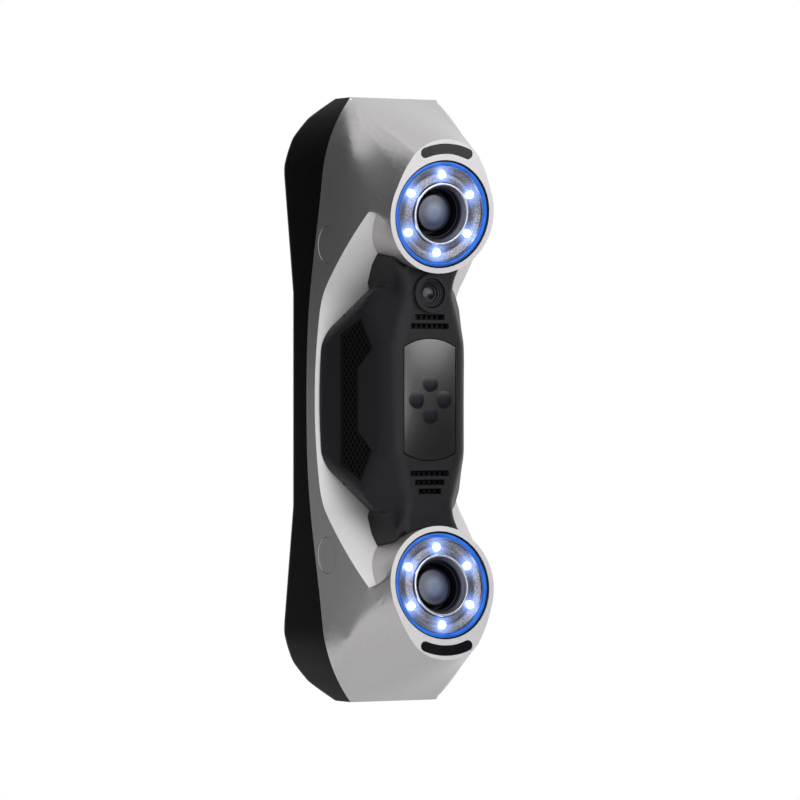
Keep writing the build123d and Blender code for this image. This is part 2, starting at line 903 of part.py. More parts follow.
def grille_plane():
    """Plane on the right side facet, runs along x and heights along y, normal outwards."""
    start = facet_point(0, 0)
    run = (facet_point(taper_peak_run, 0) - start).normalized()
    normal = run.cross(Vector(0, 0, 1))
    return Plane(origin=(start.X, start.Y, 0), x_dir=(run.X, run.Y, 0), z_dir=(normal.X, normal.Y, 0))


def grille_outline(grow):
    """Bracket-shaped outline of the side grille, grown on all sides."""
    upper = [
        (grille_waist_run - grow, grille_peak_height * grille_waist_share),
        (grille_wing_run - grow, grille_peak_height * grille_wing_share),
        (grille_peak_run - grow, grille_peak_height + grow),
        (grille_outer_run + grow, grille_peak_height * grille_corner_share + grow),
    ]
    lower = [(run, -height) for run, height in reversed(upper)]
    return make_face(Polyline(*upper, *lower, close=True))


def mesh_cells(half_run, half_tall):
    """Staggered rhombic cells that fill a rectangle about the origin."""
    cell = make_face(
        Polyline(
            (cell_run / 2 - cell_rib / 2, 0),
            (0, cell_height / 2 - cell_rib / 2),
            (cell_rib / 2 - cell_run / 2, 0),
            (0, cell_rib / 2 - cell_height / 2),
            close=True,
        )
    )
    columns = int(half_run / cell_run * 2) + 1
    rows = int(half_tall / cell_height * 2) + 1
    cells = []
    for column in range(-columns, columns + 1):
        for row in range(-rows, rows + 1):
            if (column + row) % 2 == 0:
                run = column * cell_run / 2
                height = row * cell_height / 2
                if abs(run) < half_run and abs(height) < half_tall:
                    cells.append(Pos(run, height) * cell)
    return cells


def side_grille():
    """Mesh plate in the right side facet."""
    outline = grille_outline(0)
    opening = grille_outline(-grille_border)
    half_run = grille_outer_run / 2
    cells = [Pos(half_run, 0) * cell for cell in mesh_cells(half_run, grille_peak_height)]
    holes = [hole for cell in cells for hole in [cell & opening] if hole]
    plate = outline - holes
    back = -grille_thickness - grille_recess
    return extrude(grille_plane().offset(back) * plate, amount=grille_thickness)


def vent_screen(count, side):
    """Mesh sheet behind the vent slots on one side of the window."""
    heights = slot_heights(count, side)
    middle = (heights[0] + heights[-1]) / 2
    half_tall = abs(heights[0] - heights[-1]) / 2 + slot_height / 2 + screen_margin
    sheet = Rectangle(screen_half_width * 2, half_tall * 2)
    opening = Rectangle((screen_half_width - screen_margin / 2) * 2, (half_tall - screen_margin / 2) * 2)
    cells = mesh_cells(screen_half_width, half_tall)
    holes = [hole for cell in cells for hole in [cell & opening] if hole]
    rear = facing_front(cover_inner_depth + screen_thickness)
    return extrude(rear * Pos(0, middle) * (sheet - holes), amount=screen_thickness)


def centre_cover():
    """Black faceted cover in the valley: window seat, vents, grille openings, colour camera bore."""
    form = cover_blank()
    boss = rod(colour_boss_radius, 0, colour_height, colour_boss_depth, cover_inner_depth)
    form += boss
    form -= Pos(0, -seam, 0) * body_solid(0)
    for drum in both_ends(upper_pod.location * disc(rim_radius + fit_gap, -drum_length, overrun)):
        form -= drum
    cavity = extrude(cover_section(wall), amount=cover_cavity_half_height, both=True)
    neck_cavity = block(
        -neck_cavity_half_width,
        neck_cavity_half_width,
        cover_inner_depth,
        neck_cavity_depth,
        -neck_cavity_height,
        neck_cavity_height,
    )
    form -= cavity + neck_cavity
    window_floor = facing_front(cover_front_depth + window_thickness)
    cuts = [extrude(window_floor * window_outline(fit_gap, 0), amount=overrun)]
    behind_window = facing_front(cover_inner_depth + overrun)
    cuts.append(extrude(behind_window * window_outline(0, window_ledge), amount=overrun * 3))
    for count, side in ((upper_slot_count, 1), (lower_slot_count, -1)):
        for width, height in zip(slot_widths, slot_heights(count, side)):
            half = slot_height / 2
            cuts.append(
                block(
                    -width / 2, width / 2, cover_front_depth - overrun,
                    cover_inner_depth + overrun, height - half, height + half,
                )
            )
    bore_front = cover_front_depth - overrun
    cuts.append(rod(colour_bore_radius, 0, colour_height, bore_front, cover_inner_depth + wall))
    recess = grille_thickness + grille_recess
    seat = grille_plane().offset(-recess) * grille_outline(fit_gap / 2)
    ledge = grille_plane().offset(-wall - overrun / 2) * grille_outline(-grille_border)
    grille_seat = extrude(seat, amount=recess + overrun) + extrude(ledge, amount=wall + overrun)
    cuts += [grille_seat, mirror(grille_seat, about=Plane.YZ)]
    return form - cuts


def aperture_places():
    """The four projector apertures, in a cross about the window's centre."""
    return [(aperture_offset, 0), (-aperture_offset, 0), (0, aperture_offset), (0, -aperture_offset)]


def projector_window():
    """Smoked window with four round apertures."""
    rear = cover_front_depth + window_thickness
    pane = extrude(facing_front(rear) * window_outline(0, 0), amount=window_thickness)
    for across, height in aperture_places():
        pane -= rod(aperture_radius, across, height, cover_front_depth - overrun, rear + overrun)
    return pane


def projector_housing():
    """Box that holds the four projector lenses."""
    box = block(
        -projector_half_width, projector_half_width, projector_front_depth,
        projector_rear_depth, -projector_half_height, projector_half_height,
    )
    inner_width = projector_half_width - projector_wall
    inner_tall = projector_half_height - projector_wall
    box -= block(
        -inner_width, inner_width, projector_front_depth + projector_wall,
        projector_rear_depth - projector_wall, -inner_tall, inner_tall,
    )
    bore = projector_lens_radius + shank_gap
    bore_front = projector_front_depth - overrun
    for across, height in aperture_places():
        box -= rod(bore, across, height, bore_front, projector_front_depth + projector_wall)
    return box


def projector_lenses():
    """Four small lenses in the housing's front wall."""
    front = cover_front_depth + window_thickness + projector_lens_setback
    lens = domed_lens(projector_lens_radius, projector_lens_rise, projector_lens_length, 0)
    return [
        Plane(origin=(across, front, height), x_dir=(1, 0, 0), z_dir=(0, -1, 0)).location * lens
        for across, height in aperture_places()
    ]


def heat_sink():
    """Finned plate between the projector and the optical frame."""
    fin_front = projector_rear_depth + sink_base_thickness
    sink = block(
        -sink_half_width, sink_half_width, projector_rear_depth,
        fin_front, -projector_half_height, projector_half_height,
    )
    pitch = (sink_half_width * 2 - fin_thickness) / (fin_count - 1)
    for index in range(fin_count):
        left = -sink_half_width + pitch * index
        right = left + fin_thickness
        sink += block(left, right, fin_front, frame_depth, -projector_half_height, projector_half_height)
    return sink


def fan_frame():
    """Square fan frame with a round bore, three struts, a boss and an axle."""
    front = frame_rear_depth
    rear = front + fan_depth
    strut_rear = front + fan_strut_thickness
    frame = block(-fan_half_size, fan_half_size, front, rear, -fan_half_size, fan_half_size)
    frame -= rod(fan_bore_radius, 0, 0, front - overrun, rear + overrun)
    frame += rod(fan_boss_radius, 0, 0, front, strut_rear)
    half = fan_strut_width / 2
    strut_end = fan_bore_radius + fan_strut_width / 2
    strut = block(0, strut_end, front, strut_rear, -half, half)
    for index in range(fan_strut_count):
        frame += Rot(0, index * 360 / fan_strut_count, 0) * strut
    return frame + rod(fan_axle_radius, 0, 0, front, rear - fan_hub_cap - fan_run_gap)


def fan_rotor():
    """Fan hub and blades that turn on the frame's axle."""
    front = frame_rear_depth + fan_strut_thickness + fan_run_gap
    rear = frame_rear_depth + fan_depth
    hub = rod(fan_hub_radius, 0, 0, front, rear)
    middle = (front + rear) / 2
    blade_length = fan_blade_radius - fan_hub_radius / 2
    blade_depth = (rear - front) * 2
    blade = Pos(fan_blade_radius - blade_length / 2, middle, 0) * Rot(fan_blade_pitch_angle, 0, 0)
    blade = blade * Box(blade_length, blade_depth, fan_blade_thickness)
    disc_space = rod(fan_blade_radius, 0, 0, front, rear)
    for index in range(fan_blade_count):
        hub += (Rot(0, index * 360 / fan_blade_count, 0) * blade) & disc_space
    axle_hole = rod(fan_axle_radius + fan_axle_gap, 0, 0, front - overrun, rear - fan_hub_cap)
    return hub - axle_hole


def colour_camera_body():
    """Camera module behind the cover's front wall."""
    front = cover_inner_depth + fit_gap
    half = colour_body_half_size
    return block(-half, half, front, front + colour_body_depth, colour_height - half, colour_height + half)


def colour_camera_bezel():
    """Ring round the colour lens, standing on the module."""
    outer = colour_bore_radius - fit_gap
    front = colour_boss_depth + colour_bezel_recess
    rear = cover_inner_depth + fit_gap
    bezel = rod(outer, 0, colour_height, front, rear)
    return bezel - rod(outer - colour_bezel_wall, 0, colour_height, front - overrun, rear + overrun)


def colour_camera_lens():
    """Small domed lens in the bezel."""
    front = colour_boss_depth + colour_lens_recess
    thickness = cover_inner_depth + fit_gap - front
    lens = domed_lens(colour_lens_radius, colour_lens_rise, thickness, 0)
    return Plane(origin=(0, front, colour_height), x_dir=(1, 0, 0), z_dir=(0, -1, 0)).location * lens


def board_posts(low, high):
    """Places of the four posts under a rear board."""
    across = board_half_width - board_post_inset
    heights = (low + board_post_inset, high - board_post_inset)
    return [(side * across, height) for side in (1, -1) for height in heights]


def optical_frame():
    """Stiff plate behind both cameras with lugs for the side screws and posts for the boards."""
    plate = block(
        -frame_half_width, frame_half_width, frame_depth,
        frame_rear_depth, -frame_half_height, frame_half_height,
    )
    hole_front = frame_depth - overrun
    hole_rear = frame_rear_depth + overrun
    plate -= rod(fan_bore_radius, 0, 0, hole_front, hole_rear)
    lug = block(
        lug_face - lug_thickness, lug_face, lug_front_depth, frame_rear_depth,
        plug_height - lug_half_height, plug_height + lug_half_height,
    )
    shank_hole = side_shank_radius + shank_gap
    lug -= side_rod(shank_hole, plug_depth, plug_height, side_shank_end - overrun, lug_face + overrun)
    for side in (1, -1):
        for piece in both_ends(at_side(lug, side)):
            plate += piece
    posts = board_posts(board_low, frame_half_height) + board_posts(-frame_half_height, -board_low)
    for across, height in posts:
        plate += rod(post_radius, across, height, frame_rear_depth, board_depth)
    for across, height in mirrored_places(rear_screw_width, rear_screw_height):
        plate -= rod(rear_shank_radius + shank_gap, across, height, hole_front, hole_rear)
    return plate


def rear_board(low, high):
    """Circuit board on the optical frame's posts."""
    return block(-board_half_width, board_half_width, board_depth, board_rear_depth, low, high)


def main_chips():
    """Processor, memory and interface chips on the main board."""
    chips = []
    for (width, tall, thick), rise in zip(chip_sizes, chip_rises):
        chip = block(-width / 2, width / 2, board_rear_depth, board_rear_depth + thick, -tall / 2, tall / 2)
        chips.append(Pos(0, 0, board_low + rise) * chip)
    return chips


def usb_socket():
    """Data socket on the power board, open to the lower end."""
    half = usb_width / 2
    front = board_rear_depth
    rear = front + usb_thickness
    low = -usb_mouth_height
    high = low + usb_length
    can = block(-half, half, front, rear, low, high)
    can = fillet(can.edges().filter_by(Axis.Z), usb_thickness / 2 - usb_wall)
    inner = block(
        -half + usb_wall, half - usb_wall, front + usb_wall,
        rear - usb_wall, low - overrun, high - usb_wall,
    )
    can -= fillet(inner.edges().filter_by(Axis.Z), usb_thickness / 2 - usb_wall * 2)
    tongue_half = usb_tongue_width / 2
    middle = (front + rear) / 2
    thick = usb_tongue_thickness / 2
    tongue_root = high - usb_wall
    return can + block(
        -tongue_half, tongue_half, middle - thick,
        middle + thick, tongue_root - usb_tongue_length, tongue_root,
    )


def tripod_insert():
    """Brass insert with the tripod thread's bore."""
    insert = disc(insert_radius, -half_height, -half_height + insert_length)
    insert -= disc(socket_bore_radius, -half_height - overrun, -half_height + socket_bore_length)
    return Pos(0, socket_depth, 0) * insert


def side_plugs():
    """Four round plugs flush with the side walls."""
    outer = body_half_width - plug_recess
    return [
        at_side(side_rod(plug_radius, plug_depth, height, outer - plug_thickness, outer), side)
        for side in (1, -1)
        for height in (plug_height, -plug_height)
    ]


def side_screws():
    """Four screws from the side walls into the frame's lugs."""
    head_floor = body_half_width - plug_recess - plug_thickness - side_head_height - side_head_clearance
    screws = []
    for side in (1, -1):
        for height in (plug_height, -plug_height):
            screw = side_rod(side_head_radius, plug_depth, height, head_floor, head_floor + side_head_height)
            screw += side_rod(side_shank_radius, plug_depth, height, side_shank_end, head_floor)
            screws.append(at_side(screw, side))
    return screws


def rear_screws():
    """Four screws from the rear into the optical frame."""
    head_rear = rear_wall_depth(rear_screw_height) - rear_head_sink
    head_front = head_rear - rear_head_height
    screws = []
    for across, height in mirrored_places(rear_screw_width, rear_screw_height):
        screw = rod(rear_head_radius, across, height, head_front, head_rear)
        screws.append(screw + rod(rear_shank_radius, across, height, frame_depth, head_front))
    return screws


def place(shape):
    """Move a piece so that the tripod socket's mouth is the origin."""
    return Pos(0, -socket_depth, half_height) * shape


def save(name, shape):
    """Write one node, as one solid or as a group of separate solids."""
    if isinstance(shape, list):
        shape = Compound([solid for item in shape for solid in place(item).solids()])
    else:
        shape = place(shape)
    export_step(shape, f"parts/{name}.step")


def pod_pieces():
    """Pieces of the upper pod, by name."""
    pieces = {
        "accent_ring": accent_ring(),
        "lamp_reflector": lamp_reflector(),
        "lamp_leds": lamp_leds(),
        "lamp_board": lamp_board(),
        "lens_hood": lens_hood(),
        "lens_barrel": lens_barrel(),
        "lens_glass": lens_glass(),
        "image_sensor": image_sensor(),
        "sensor_board": sensor_board(),
        "fill_window": fill_window(),
    }
    placed = {}
    for name, shape in pieces.items():
        if isinstance(shape, list):
            placed[name] = [upper_pod.location * item for item in shape]
        else:
            placed[name] = upper_pod.location * shape
    placed["camera_bracket"] = camera_bracket()
    return placed


def main():
    os.makedirs("parts", exist_ok=True)
    save("front_shell", front_shell())
    save("rear_shell", rear_shell())
    save("centre_cover", centre_cover())
    save("keypad_panel", keypad_panel())
    for name, (radius, across, height) in key_places().items():
        save(name, key(radius, across, height))
    save("key_switches", key_switches())
    save("keypad_board", keypad_board())
    save("status_light", status_light())
    for name, shape in pod_pieces().items():
        for end, turn in (("upper", 0), ("lower", 180)):
            if isinstance(shape, list):
                save(f"{end}_{name}", [Rot(0, turn, 0) * item for item in shape])
            else:
                save(f"{end}_{name}", Rot(0, turn, 0) * shape)
    save("projector_window", projector_window())
    save("projector_housing", projector_housing())
    save("projector_lenses", projector_lenses())
    save("heat_sink", heat_sink())
    save("fan_frame", fan_frame())
    save("fan_rotor", fan_rotor())
    save("upper_vent_screen", vent_screen(upper_slot_count, 1))
    save("lower_vent_screen", vent_screen(lower_slot_count, -1))
    save("right_grille", side_grille())
    save("left_grille", mirror(side_grille(), about=Plane.YZ))
    save("colour_camera_body", colour_camera_body())
    save("colour_camera_bezel", colour_camera_bezel())
    save("colour_camera_lens", colour_camera_lens())
    save("optical_frame", optical_frame())
    save("main_board", rear_board(board_low, frame_half_height))
    save("main_chips", main_chips())
    save("power_board", rear_board(-board_end_height, -board_low))
    save("usb_socket", usb_socket())
    save("tripod_insert", tripod_insert())
    save("side_plugs", side_plugs())
    save("side_screws", side_screws())
    save("rear_screws", rear_screws())


main()
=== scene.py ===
# %% [markdown]
# # A handheld three-d scanner in Blender
# The scanner's solids come from the CAD model and stay where they are. This lesson dresses them: it smooths
# the moulded shells, adds the small pieces that a solid modeller leaves out, and gives every surface a
# finish. The cells run in order, and each one prints what it made or measured.

# %% Load the frame
from math import cos, exp, pi, radians, sin

import bmesh
import bpy
from mathutils import Matrix, Vector


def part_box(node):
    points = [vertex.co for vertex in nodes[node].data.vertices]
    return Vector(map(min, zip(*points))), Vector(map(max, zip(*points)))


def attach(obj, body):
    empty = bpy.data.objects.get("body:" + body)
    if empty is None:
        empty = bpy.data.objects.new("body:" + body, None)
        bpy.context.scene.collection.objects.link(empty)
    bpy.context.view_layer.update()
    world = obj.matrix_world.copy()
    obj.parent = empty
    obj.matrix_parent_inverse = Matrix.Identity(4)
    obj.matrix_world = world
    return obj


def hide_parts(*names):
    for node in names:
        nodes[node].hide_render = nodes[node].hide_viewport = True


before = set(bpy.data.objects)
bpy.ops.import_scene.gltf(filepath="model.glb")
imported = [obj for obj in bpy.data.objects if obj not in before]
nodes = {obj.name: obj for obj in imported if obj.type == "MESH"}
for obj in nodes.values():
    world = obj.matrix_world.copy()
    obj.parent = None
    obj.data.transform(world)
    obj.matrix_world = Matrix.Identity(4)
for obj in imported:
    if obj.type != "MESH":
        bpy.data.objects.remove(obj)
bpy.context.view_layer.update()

MM = 0.001
scene = bpy.context.scene
scene.view_settings.view_transform = "Standard"

# %% [markdown]
# ## Camera
# The photograph looks at the scanner's left side from 30 degrees, level with its middle, through a long
# lens. Its focal length follows from the width that the picture shows at the scanner, so the picture keeps
# its scale when the distance changes.

# %% Place the camera
view_azimuth = radians(-30)
view_distance = 1750 * MM
picture_width = 270.6 * MM
aim_right = 5.7 * MM
aim_height = 101.4 * MM
sensor = 36.0

to_camera = Vector((sin(view_azimuth), -cos(view_azimuth), 0))
picture_right = Vector((cos(view_azimuth), sin(view_azimuth), 0))
aim = picture_right * aim_right + Vector((0, 0, aim_height))
camera_data = bpy.data.cameras.new("view")
camera_data.sensor_width = sensor
camera_data.lens = sensor * view_distance / picture_width
camera = bpy.data.objects.new("view", camera_data)
camera.location = aim + to_camera * view_distance
camera.rotation_euler = (-to_camera).to_track_quat("-Z", "Y").to_euler()
scene.collection.objects.link(camera)
scene.camera = camera
print("lens", round(camera_data.lens, 1))

# %% [markdown]
# ## Colours and nodes
# Colours are written as the hex values that a colour picker shows. Shaders count in linear light, so one
# function turns the one into the other by the sRGB curve. Another adds a shader node with its settings,
# values and links, which keeps a node tree as short to write as it is to draw.

# %% Helpers for colours and nodes
def hex_colour(text):
    """Linear colour of an sRGB hex value."""
    channels = [int(text[i:i + 2], 16) / 255 for i in (1, 3, 5)]
    linear = [c / 12.92 if c <= 0.04045 else ((c + 0.055) / 1.055) ** 2.4 for c in channels]
    return (*linear, 1.0)


def add_node(tree, kind, values=None, links=None, **settings):
    """A shader node with its settings, input values and input links."""
    node = tree.nodes.new(kind)
    for name, value in settings.items():
        setattr(node, name, value)
    for socket, value in (values or {}).items():
        node.inputs[socket].default_value = value
    for socket, source in (links or {}).items():
        tree.links.new(source, node.inputs[socket])
    return node


white = hex_colour("#ffffff")
print("white", white, "mid grey", round(hex_colour("#808080")[0], 3))

# %% [markdown]
# ## Light
# A white room lights the scanner softly, as a light tent does for a photograph. One background could do all
# of it, but a white strong enough for the picture would wash out the scanner. So the room is dim for the
# light it gives, and white for the camera and for what shines or is clear.

# %% Light the room
room_light = 0.42
room_white = 1.0
world = bpy.data.worlds.new("white_room")
scene.world = world
world.use_nodes = True
tree = world.node_tree
tree.nodes.clear()
seen = add_node(tree, "ShaderNodeLightPath").outputs
direct = seen["Is Camera Ray"]
for ray in ("Is Glossy Ray", "Is Transmission Ray"):
    either = {0: direct, 1: seen[ray]}
    direct = add_node(tree, "ShaderNodeMath", links=either, operation="MAXIMUM").outputs[0]
dim_room = add_node(tree, "ShaderNodeBackground", {"Color": white, "Strength": room_light}).outputs[0]
white_room = add_node(tree, "ShaderNodeBackground", {"Color": white, "Strength": room_white}).outputs[0]
room = add_node(tree, "ShaderNodeMixShader", links={0: direct, 1: dim_room, 2: white_room}).outputs[0]
add_node(tree, "ShaderNodeOutputWorld", links={"Surface": room})
print("room light", room_light)

# %% [markdown]
# ## Lamps
# A large lamp at the front models the forms, a second one at the right opens the shadows and a third one
# lifts the top. Small lamps would leave hard spots on the metal, so the front lamp is wider than the
# scanner is tall.

# %% Hang the lamps
# Name, place and size in metres, and power in watts.
lamps = (
    ("front_lamp", (-0.15, -0.95, 0.4), 1.3, 7.0),
    ("right_lamp", (0.5, -0.85, 0.25), 0.5, 1.4),
    ("top_lamp", (-0.25, -0.3, 0.95), 0.5, 1.6),
)
for name, place, size, power in lamps:
    lamp = bpy.data.lights.new(name, "AREA")
    lamp.shape = "SQUARE"
    lamp.size = size
    lamp.energy = power
    holder = bpy.data.objects.new(name, lamp)
    holder.location = place
    to_scanner = Vector((0, 0, aim_height)) - Vector(place)
    holder.rotation_euler = to_scanner.to_track_quat("-Z", "Y").to_euler()
    scene.collection.objects.link(holder)
print("lamps", len(lamps))

# %% [markdown]
# ## Floor
# The floor is a round pale sheet below the scanner. A plain sheet would show its rim against the white
# room, so its paint fades into a glow towards the rim. It is clear from below, which lets views from there
# see the part.

# %% Helpers for materials and meshes
def start_material(name, **values):
    """A material with one Principled shader, its node tree and that shader."""
    material = bpy.data.materials.new(name)
    material.use_nodes = True
    tree = material.node_tree
    tree.nodes.clear()
    shader = add_node(tree, "ShaderNodeBsdfPrincipled", values)
    add_node(tree, "ShaderNodeOutputMaterial", links={"Surface": shader.outputs[0]})
    return material, tree, shader


def link_mesh(name, bm, materials, smooth_angle=None):
    """New object from a bmesh, at the origin, with its materials."""
    mesh = bpy.data.meshes.new(name)
    bm.to_mesh(mesh)
    bm.free()
    if "custom_normal" in mesh.attributes:
        mesh.attributes.remove(mesh.attributes["custom_normal"])
    for material in materials:
        mesh.materials.append(material)
    if smooth_angle is not None:
        mesh.shade_smooth()
        mesh.set_sharp_from_angle(angle=radians(smooth_angle))
    piece = bpy.data.objects.new(name, mesh)
    scene.collection.objects.link(piece)
    return piece


print("materials", len(bpy.data.materials), "meshes", len(bpy.data.meshes))

# %% Lay the floor
floor_drop = 60 * MM
floor_radius = 280 * MM
floor_sides = 96
floor_glow = 0.5
fade_start = 0.45
fade_end = 0.98
# Matt emulsion on card: pale and dull, it shows a soft shadow and no reflection.
emulsion = {"Base Color": hex_colour("#f7f7f7"), "Roughness": 0.9}
floor_paint, tree, shader = start_material("pale_floor", **emulsion)
spot = add_node(tree, "ShaderNodeTexCoord").outputs["Object"]
reach = add_node(tree, "ShaderNodeVectorMath", links={0: spot}, operation="LENGTH").outputs["Value"]
fading = {"From Min": floor_radius * fade_start, "From Max": floor_radius * fade_end, "To Min": floor_glow}
fade = add_node(tree, "ShaderNodeMapRange", fading, {"Value": reach}).outputs["Result"]
glow = add_node(tree, "ShaderNodeEmission", {"Color": white, "Strength": room_white}).outputs[0]
sheet = add_node(tree, "ShaderNodeMixShader", links={0: fade, 1: shader.outputs[0], 2: glow}).outputs[0]
below = add_node(tree, "ShaderNodeNewGeometry").outputs["Backfacing"]
clear = add_node(tree, "ShaderNodeBsdfTransparent").outputs[0]
sheet = add_node(tree, "ShaderNodeMixShader", links={0: below, 1: sheet, 2: clear}).outputs[0]
tree.links.new(sheet, tree.nodes["Material Output"].inputs["Surface"])
bm = bmesh.new()
bmesh.ops.create_circle(bm, cap_ends=True, segments=floor_sides, radius=floor_radius)
bmesh.ops.translate(bm, verts=bm.verts, vec=(0, 0, -floor_drop))
floor = link_mesh("floor", bm, [floor_paint])
print("floor radius", floor_radius)

# %% [markdown]
# ## Boards to mirror
# Bright metal and dark acrylic only look like themselves when they have something dark to mirror.
# Photographers stand card beside the object for that. Two boards behind the left side shade the side wall
# and one low at the front right gives the window its gradient. The camera doesn't see them.

# %% Stand the boards
# Name, tone, place, width and height in metres.
boards = (
    ("dark_side_board", "#161616", (-0.26, 0.16, 0.31), 0.7, 0.38),
    ("grey_side_board", "#909090", (-0.28, 0.2, 0.03), 0.7, 0.18),
    ("dark_front_board", "#161616", (0.16, -0.23, 0.06), 0.2, 0.14),
)
for name, tone, place, width, height in boards:
    # Dull card: it takes its tone and nothing else into the mirror.
    card = start_material(name, **{"Base Color": hex_colour(tone), "Roughness": 1.0})[0]
    bm = bmesh.new()
    bmesh.ops.create_grid(bm, x_segments=1, y_segments=1, size=0.5)
    bmesh.ops.scale(bm, verts=bm.verts, vec=(width, height, 1))
    facing = Vector((-place[0], -place[1], 0)).to_track_quat("Z", "Y").to_matrix().to_4x4()
    bmesh.ops.transform(bm, verts=bm.verts, matrix=Matrix.Translation(place) @ facing)
    board = link_mesh(name, bm, [card])
    board.visible_camera = False
print("boards", len(boards))

# %% [markdown]
# ## A grain for every finish
# Blasted metal, moulded plastic and turned metal all have a grain: small dents that shift colour and shine
# a little. A picture of each could be wrapped on. A noise of the grain's real size needs no picture and no
# unwrapping, so one function makes such a finish, and the next cells only say what differs.

# %% A grained finish
# Noise stays near one half, so this part of its range is spread over the two tones.
noise_low = 0.3
noise_high = 0.7
# A Mix node has sockets for every kind of value. These are its share, its two colours and its colour out.
mix_share, mix_first, mix_second, mix_colour = 0, 6, 7, 2


def per_mm(size):
    """Texture scale that gives a pattern of this size in millimetres."""
    return 1 / (size * MM)


def two_tones(tree, value, dark, light):
    """A value spread over its middle range, and the tone that it picks between two colours."""
    spread = {"From Min": noise_low, "From Max": noise_high}
    share = add_node(tree, "ShaderNodeMapRange", spread, {"Value": value}).outputs["Result"]
    tones = {mix_first: hex_colour(dark), mix_second: hex_colour(light)}
    tone = add_node(tree, "ShaderNodeMix", tones, {mix_share: share}, data_type="RGBA").outputs[mix_colour]
    return share, tone


def grained(name, dark, light, rough, swing, size, detail, depth, stretch=(1, 1, 1), **values):
    """A material whose grain shifts its colour and shine and dents it, with sizes in millimetres."""
    material, tree, shader = start_material(name, **values)
    spot = add_node(tree, "ShaderNodeTexCoord").outputs["Object"]
    laid = add_node(tree, "ShaderNodeMapping", {"Scale": stretch}, {"Vector": spot}).outputs[0]
    noise = {"Scale": per_mm(size), "Detail": detail}
    grain = add_node(tree, "ShaderNodeTexNoise", noise, {"Vector": laid}).outputs[0]
    share, tone = two_tones(tree, grain, dark, light)
    shine = {"To Min": rough - swing, "To Max": rough + swing}
    dull = add_node(tree, "ShaderNodeMapRange", shine, {"Value": share}).outputs["Result"]
    dented = {"Strength": 1.0, "Distance": depth * MM}
    dents = add_node(tree, "ShaderNodeBump", dented, {"Height": grain}).outputs[0]
    tree.links.new(tone, shader.inputs["Base Color"])
    tree.links.new(dull, shader.inputs["Roughness"])
    tree.links.new(dents, shader.inputs["Normal"])
    return material


print("scale of a grain of half a millimetre", per_mm(0.5))

# %% [markdown]
# ## Silver
# The front shell is cast aluminium, blasted with fine beads and sealed, so it shines softly and evenly. Its
# ramps and the flat faces of its pods catch more light than the rest, and that light is painted: they get
# paler copies of the silver. A mirror-bright metal would take every tone from the room, so the two paler
# copies are mostly paint-like and keep their painted light.

# %% Silver finishes
# Real beads leave dents of about a tenth of a millimetre. They are drawn coarser, so that they show.
bead_size = 0.35
bead_detail = 2.0
bead_depth = 0.0005
bead_swing = 0.03


def silver(name, dark, light, metallic, rough):
    """Aluminium with the dents of fine beads."""
    return grained(
        name, dark, light, rough, bead_swing, bead_size, bead_detail, bead_depth, Metallic=metallic
    )


# Blasted and sealed aluminium: a soft, even shine that follows the form.
satin_silver = silver("bead_blasted_aluminium", "#b4b2b3", "#bebcbd", 0.8, 0.3)
# Painted light on the ramps: a paler copy of the silver with little metal in it, pale in any light, with
# hardly a reflection.
ramp_light_silver = silver("ramp_painted_light", "#e6e4e5", "#eeeced", 0.15, 0.4)
# Painted light on the pods' flat faces: a paler, duller copy of the silver, a clear light grey that sets off
# the blue ring.
rim_silver = silver("pod_face_painted_light", "#cccacb", "#d4d2d3", 0.2, 0.4)
print("silvers", satin_silver.name, ramp_light_silver.name, rim_silver.name)

# %% [markdown]
# ## Black plastics and rubber
# The rear shell and the cover are moulded ABS. Its moulds are eroded by sparks, which leaves pits of a few
# tenths of a millimetre that scatter the light. Other tones, grains and shine give the rubber, the paint on
# the mesh and the anodised barrels, so one function makes them all.

# %% Black finishes
pit_detail = 3.0
pit_swing = 0.05
usual_shine = 0.14


def moulded(name, dark, light, rough, size, depth, shine=usual_shine):
    """Moulded plastic or rubber with a fine grain, sizes in millimetres."""
    values = {"IOR": 1.5, "Specular IOR Level": shine}
    return grained(name, dark, light, rough, pit_swing, size, pit_detail, depth, **values)


# Spark-eroded ABS: a deep black with a faint sheen on its edges.
shell_black = moulded("black_abs_shell", "#060607", "#0b0b0c", 0.42, 0.3, 0.008, 0.05)
# The same plastic, coarser: a charcoal that shows how the facets turn. The tone, lighter than the shell's,
# is partly painted light on the lamp-facing front.
cover_black = moulded("black_abs_cover", "#1b1a1d", "#232226", 0.45, 0.35, 0.01)
# Soft-touch lacquer: dull, so the keys stand out from it.
grip_rubber = moulded("soft_touch_grip", "#171718", "#202021", 0.72, 0.6, 0.03)
# Moulded silicone: a dull dark grey with a slight bloom.
key_rubber = moulded("silicone_key", "#232325", "#2c2c2e", 0.6, 0.5, 0.02)
# Painted shade: a black ring in the gap round the blue ring, standing for the dark of the gap.
gap_shade_black = moulded("painted_gap_shade", "#060607", "#0b0b0d", 0.5, 0.4, 0.01)
# Stamped mesh, painted: thin black bars with a little shine.
mesh_black = moulded("painted_mesh", "#0b0b0c", "#141415", 0.45, 0.2, 0.005)
# Moulded epoxy: dull dark grey blocks on the boards.
chip_black = moulded("chip_epoxy", "#18181a", "#232326", 0.6, 0.3, 0.01)
# Moulded nylon: plain dark grey.
fan_black = moulded("fan_plastic", "#141416", "#1d1d1f", 0.5, 0.4, 0.01)
# Black anodised aluminium: a bluish black whose turned rims catch the light.
barrel_black = moulded("black_anodising", "#0a0b12", "#10121c", 0.35, 0.25, 0.006, 0.2)
# Printed ink: a dull pale grey that can be read on the keys.
mark_white = moulded("printed_mark", "#b9bcbf", "#c8cbce", 0.6, 0.3, 0.004)
print("shell", shell_black.name, "cover", cover_black.name)

# %% [markdown]
# ## Metals
# Turned and milled metals show fine tool marks. They could be cut as grooves, but a noise that is squeezed
# along one axis draws them at no cost.

# %% Metal finishes
# Tool marks of a few hundredths of a millimetre are drawn coarser, so that they show.
mark_detail = 3.0
mark_swing = 0.06
mark_depth = 0.004


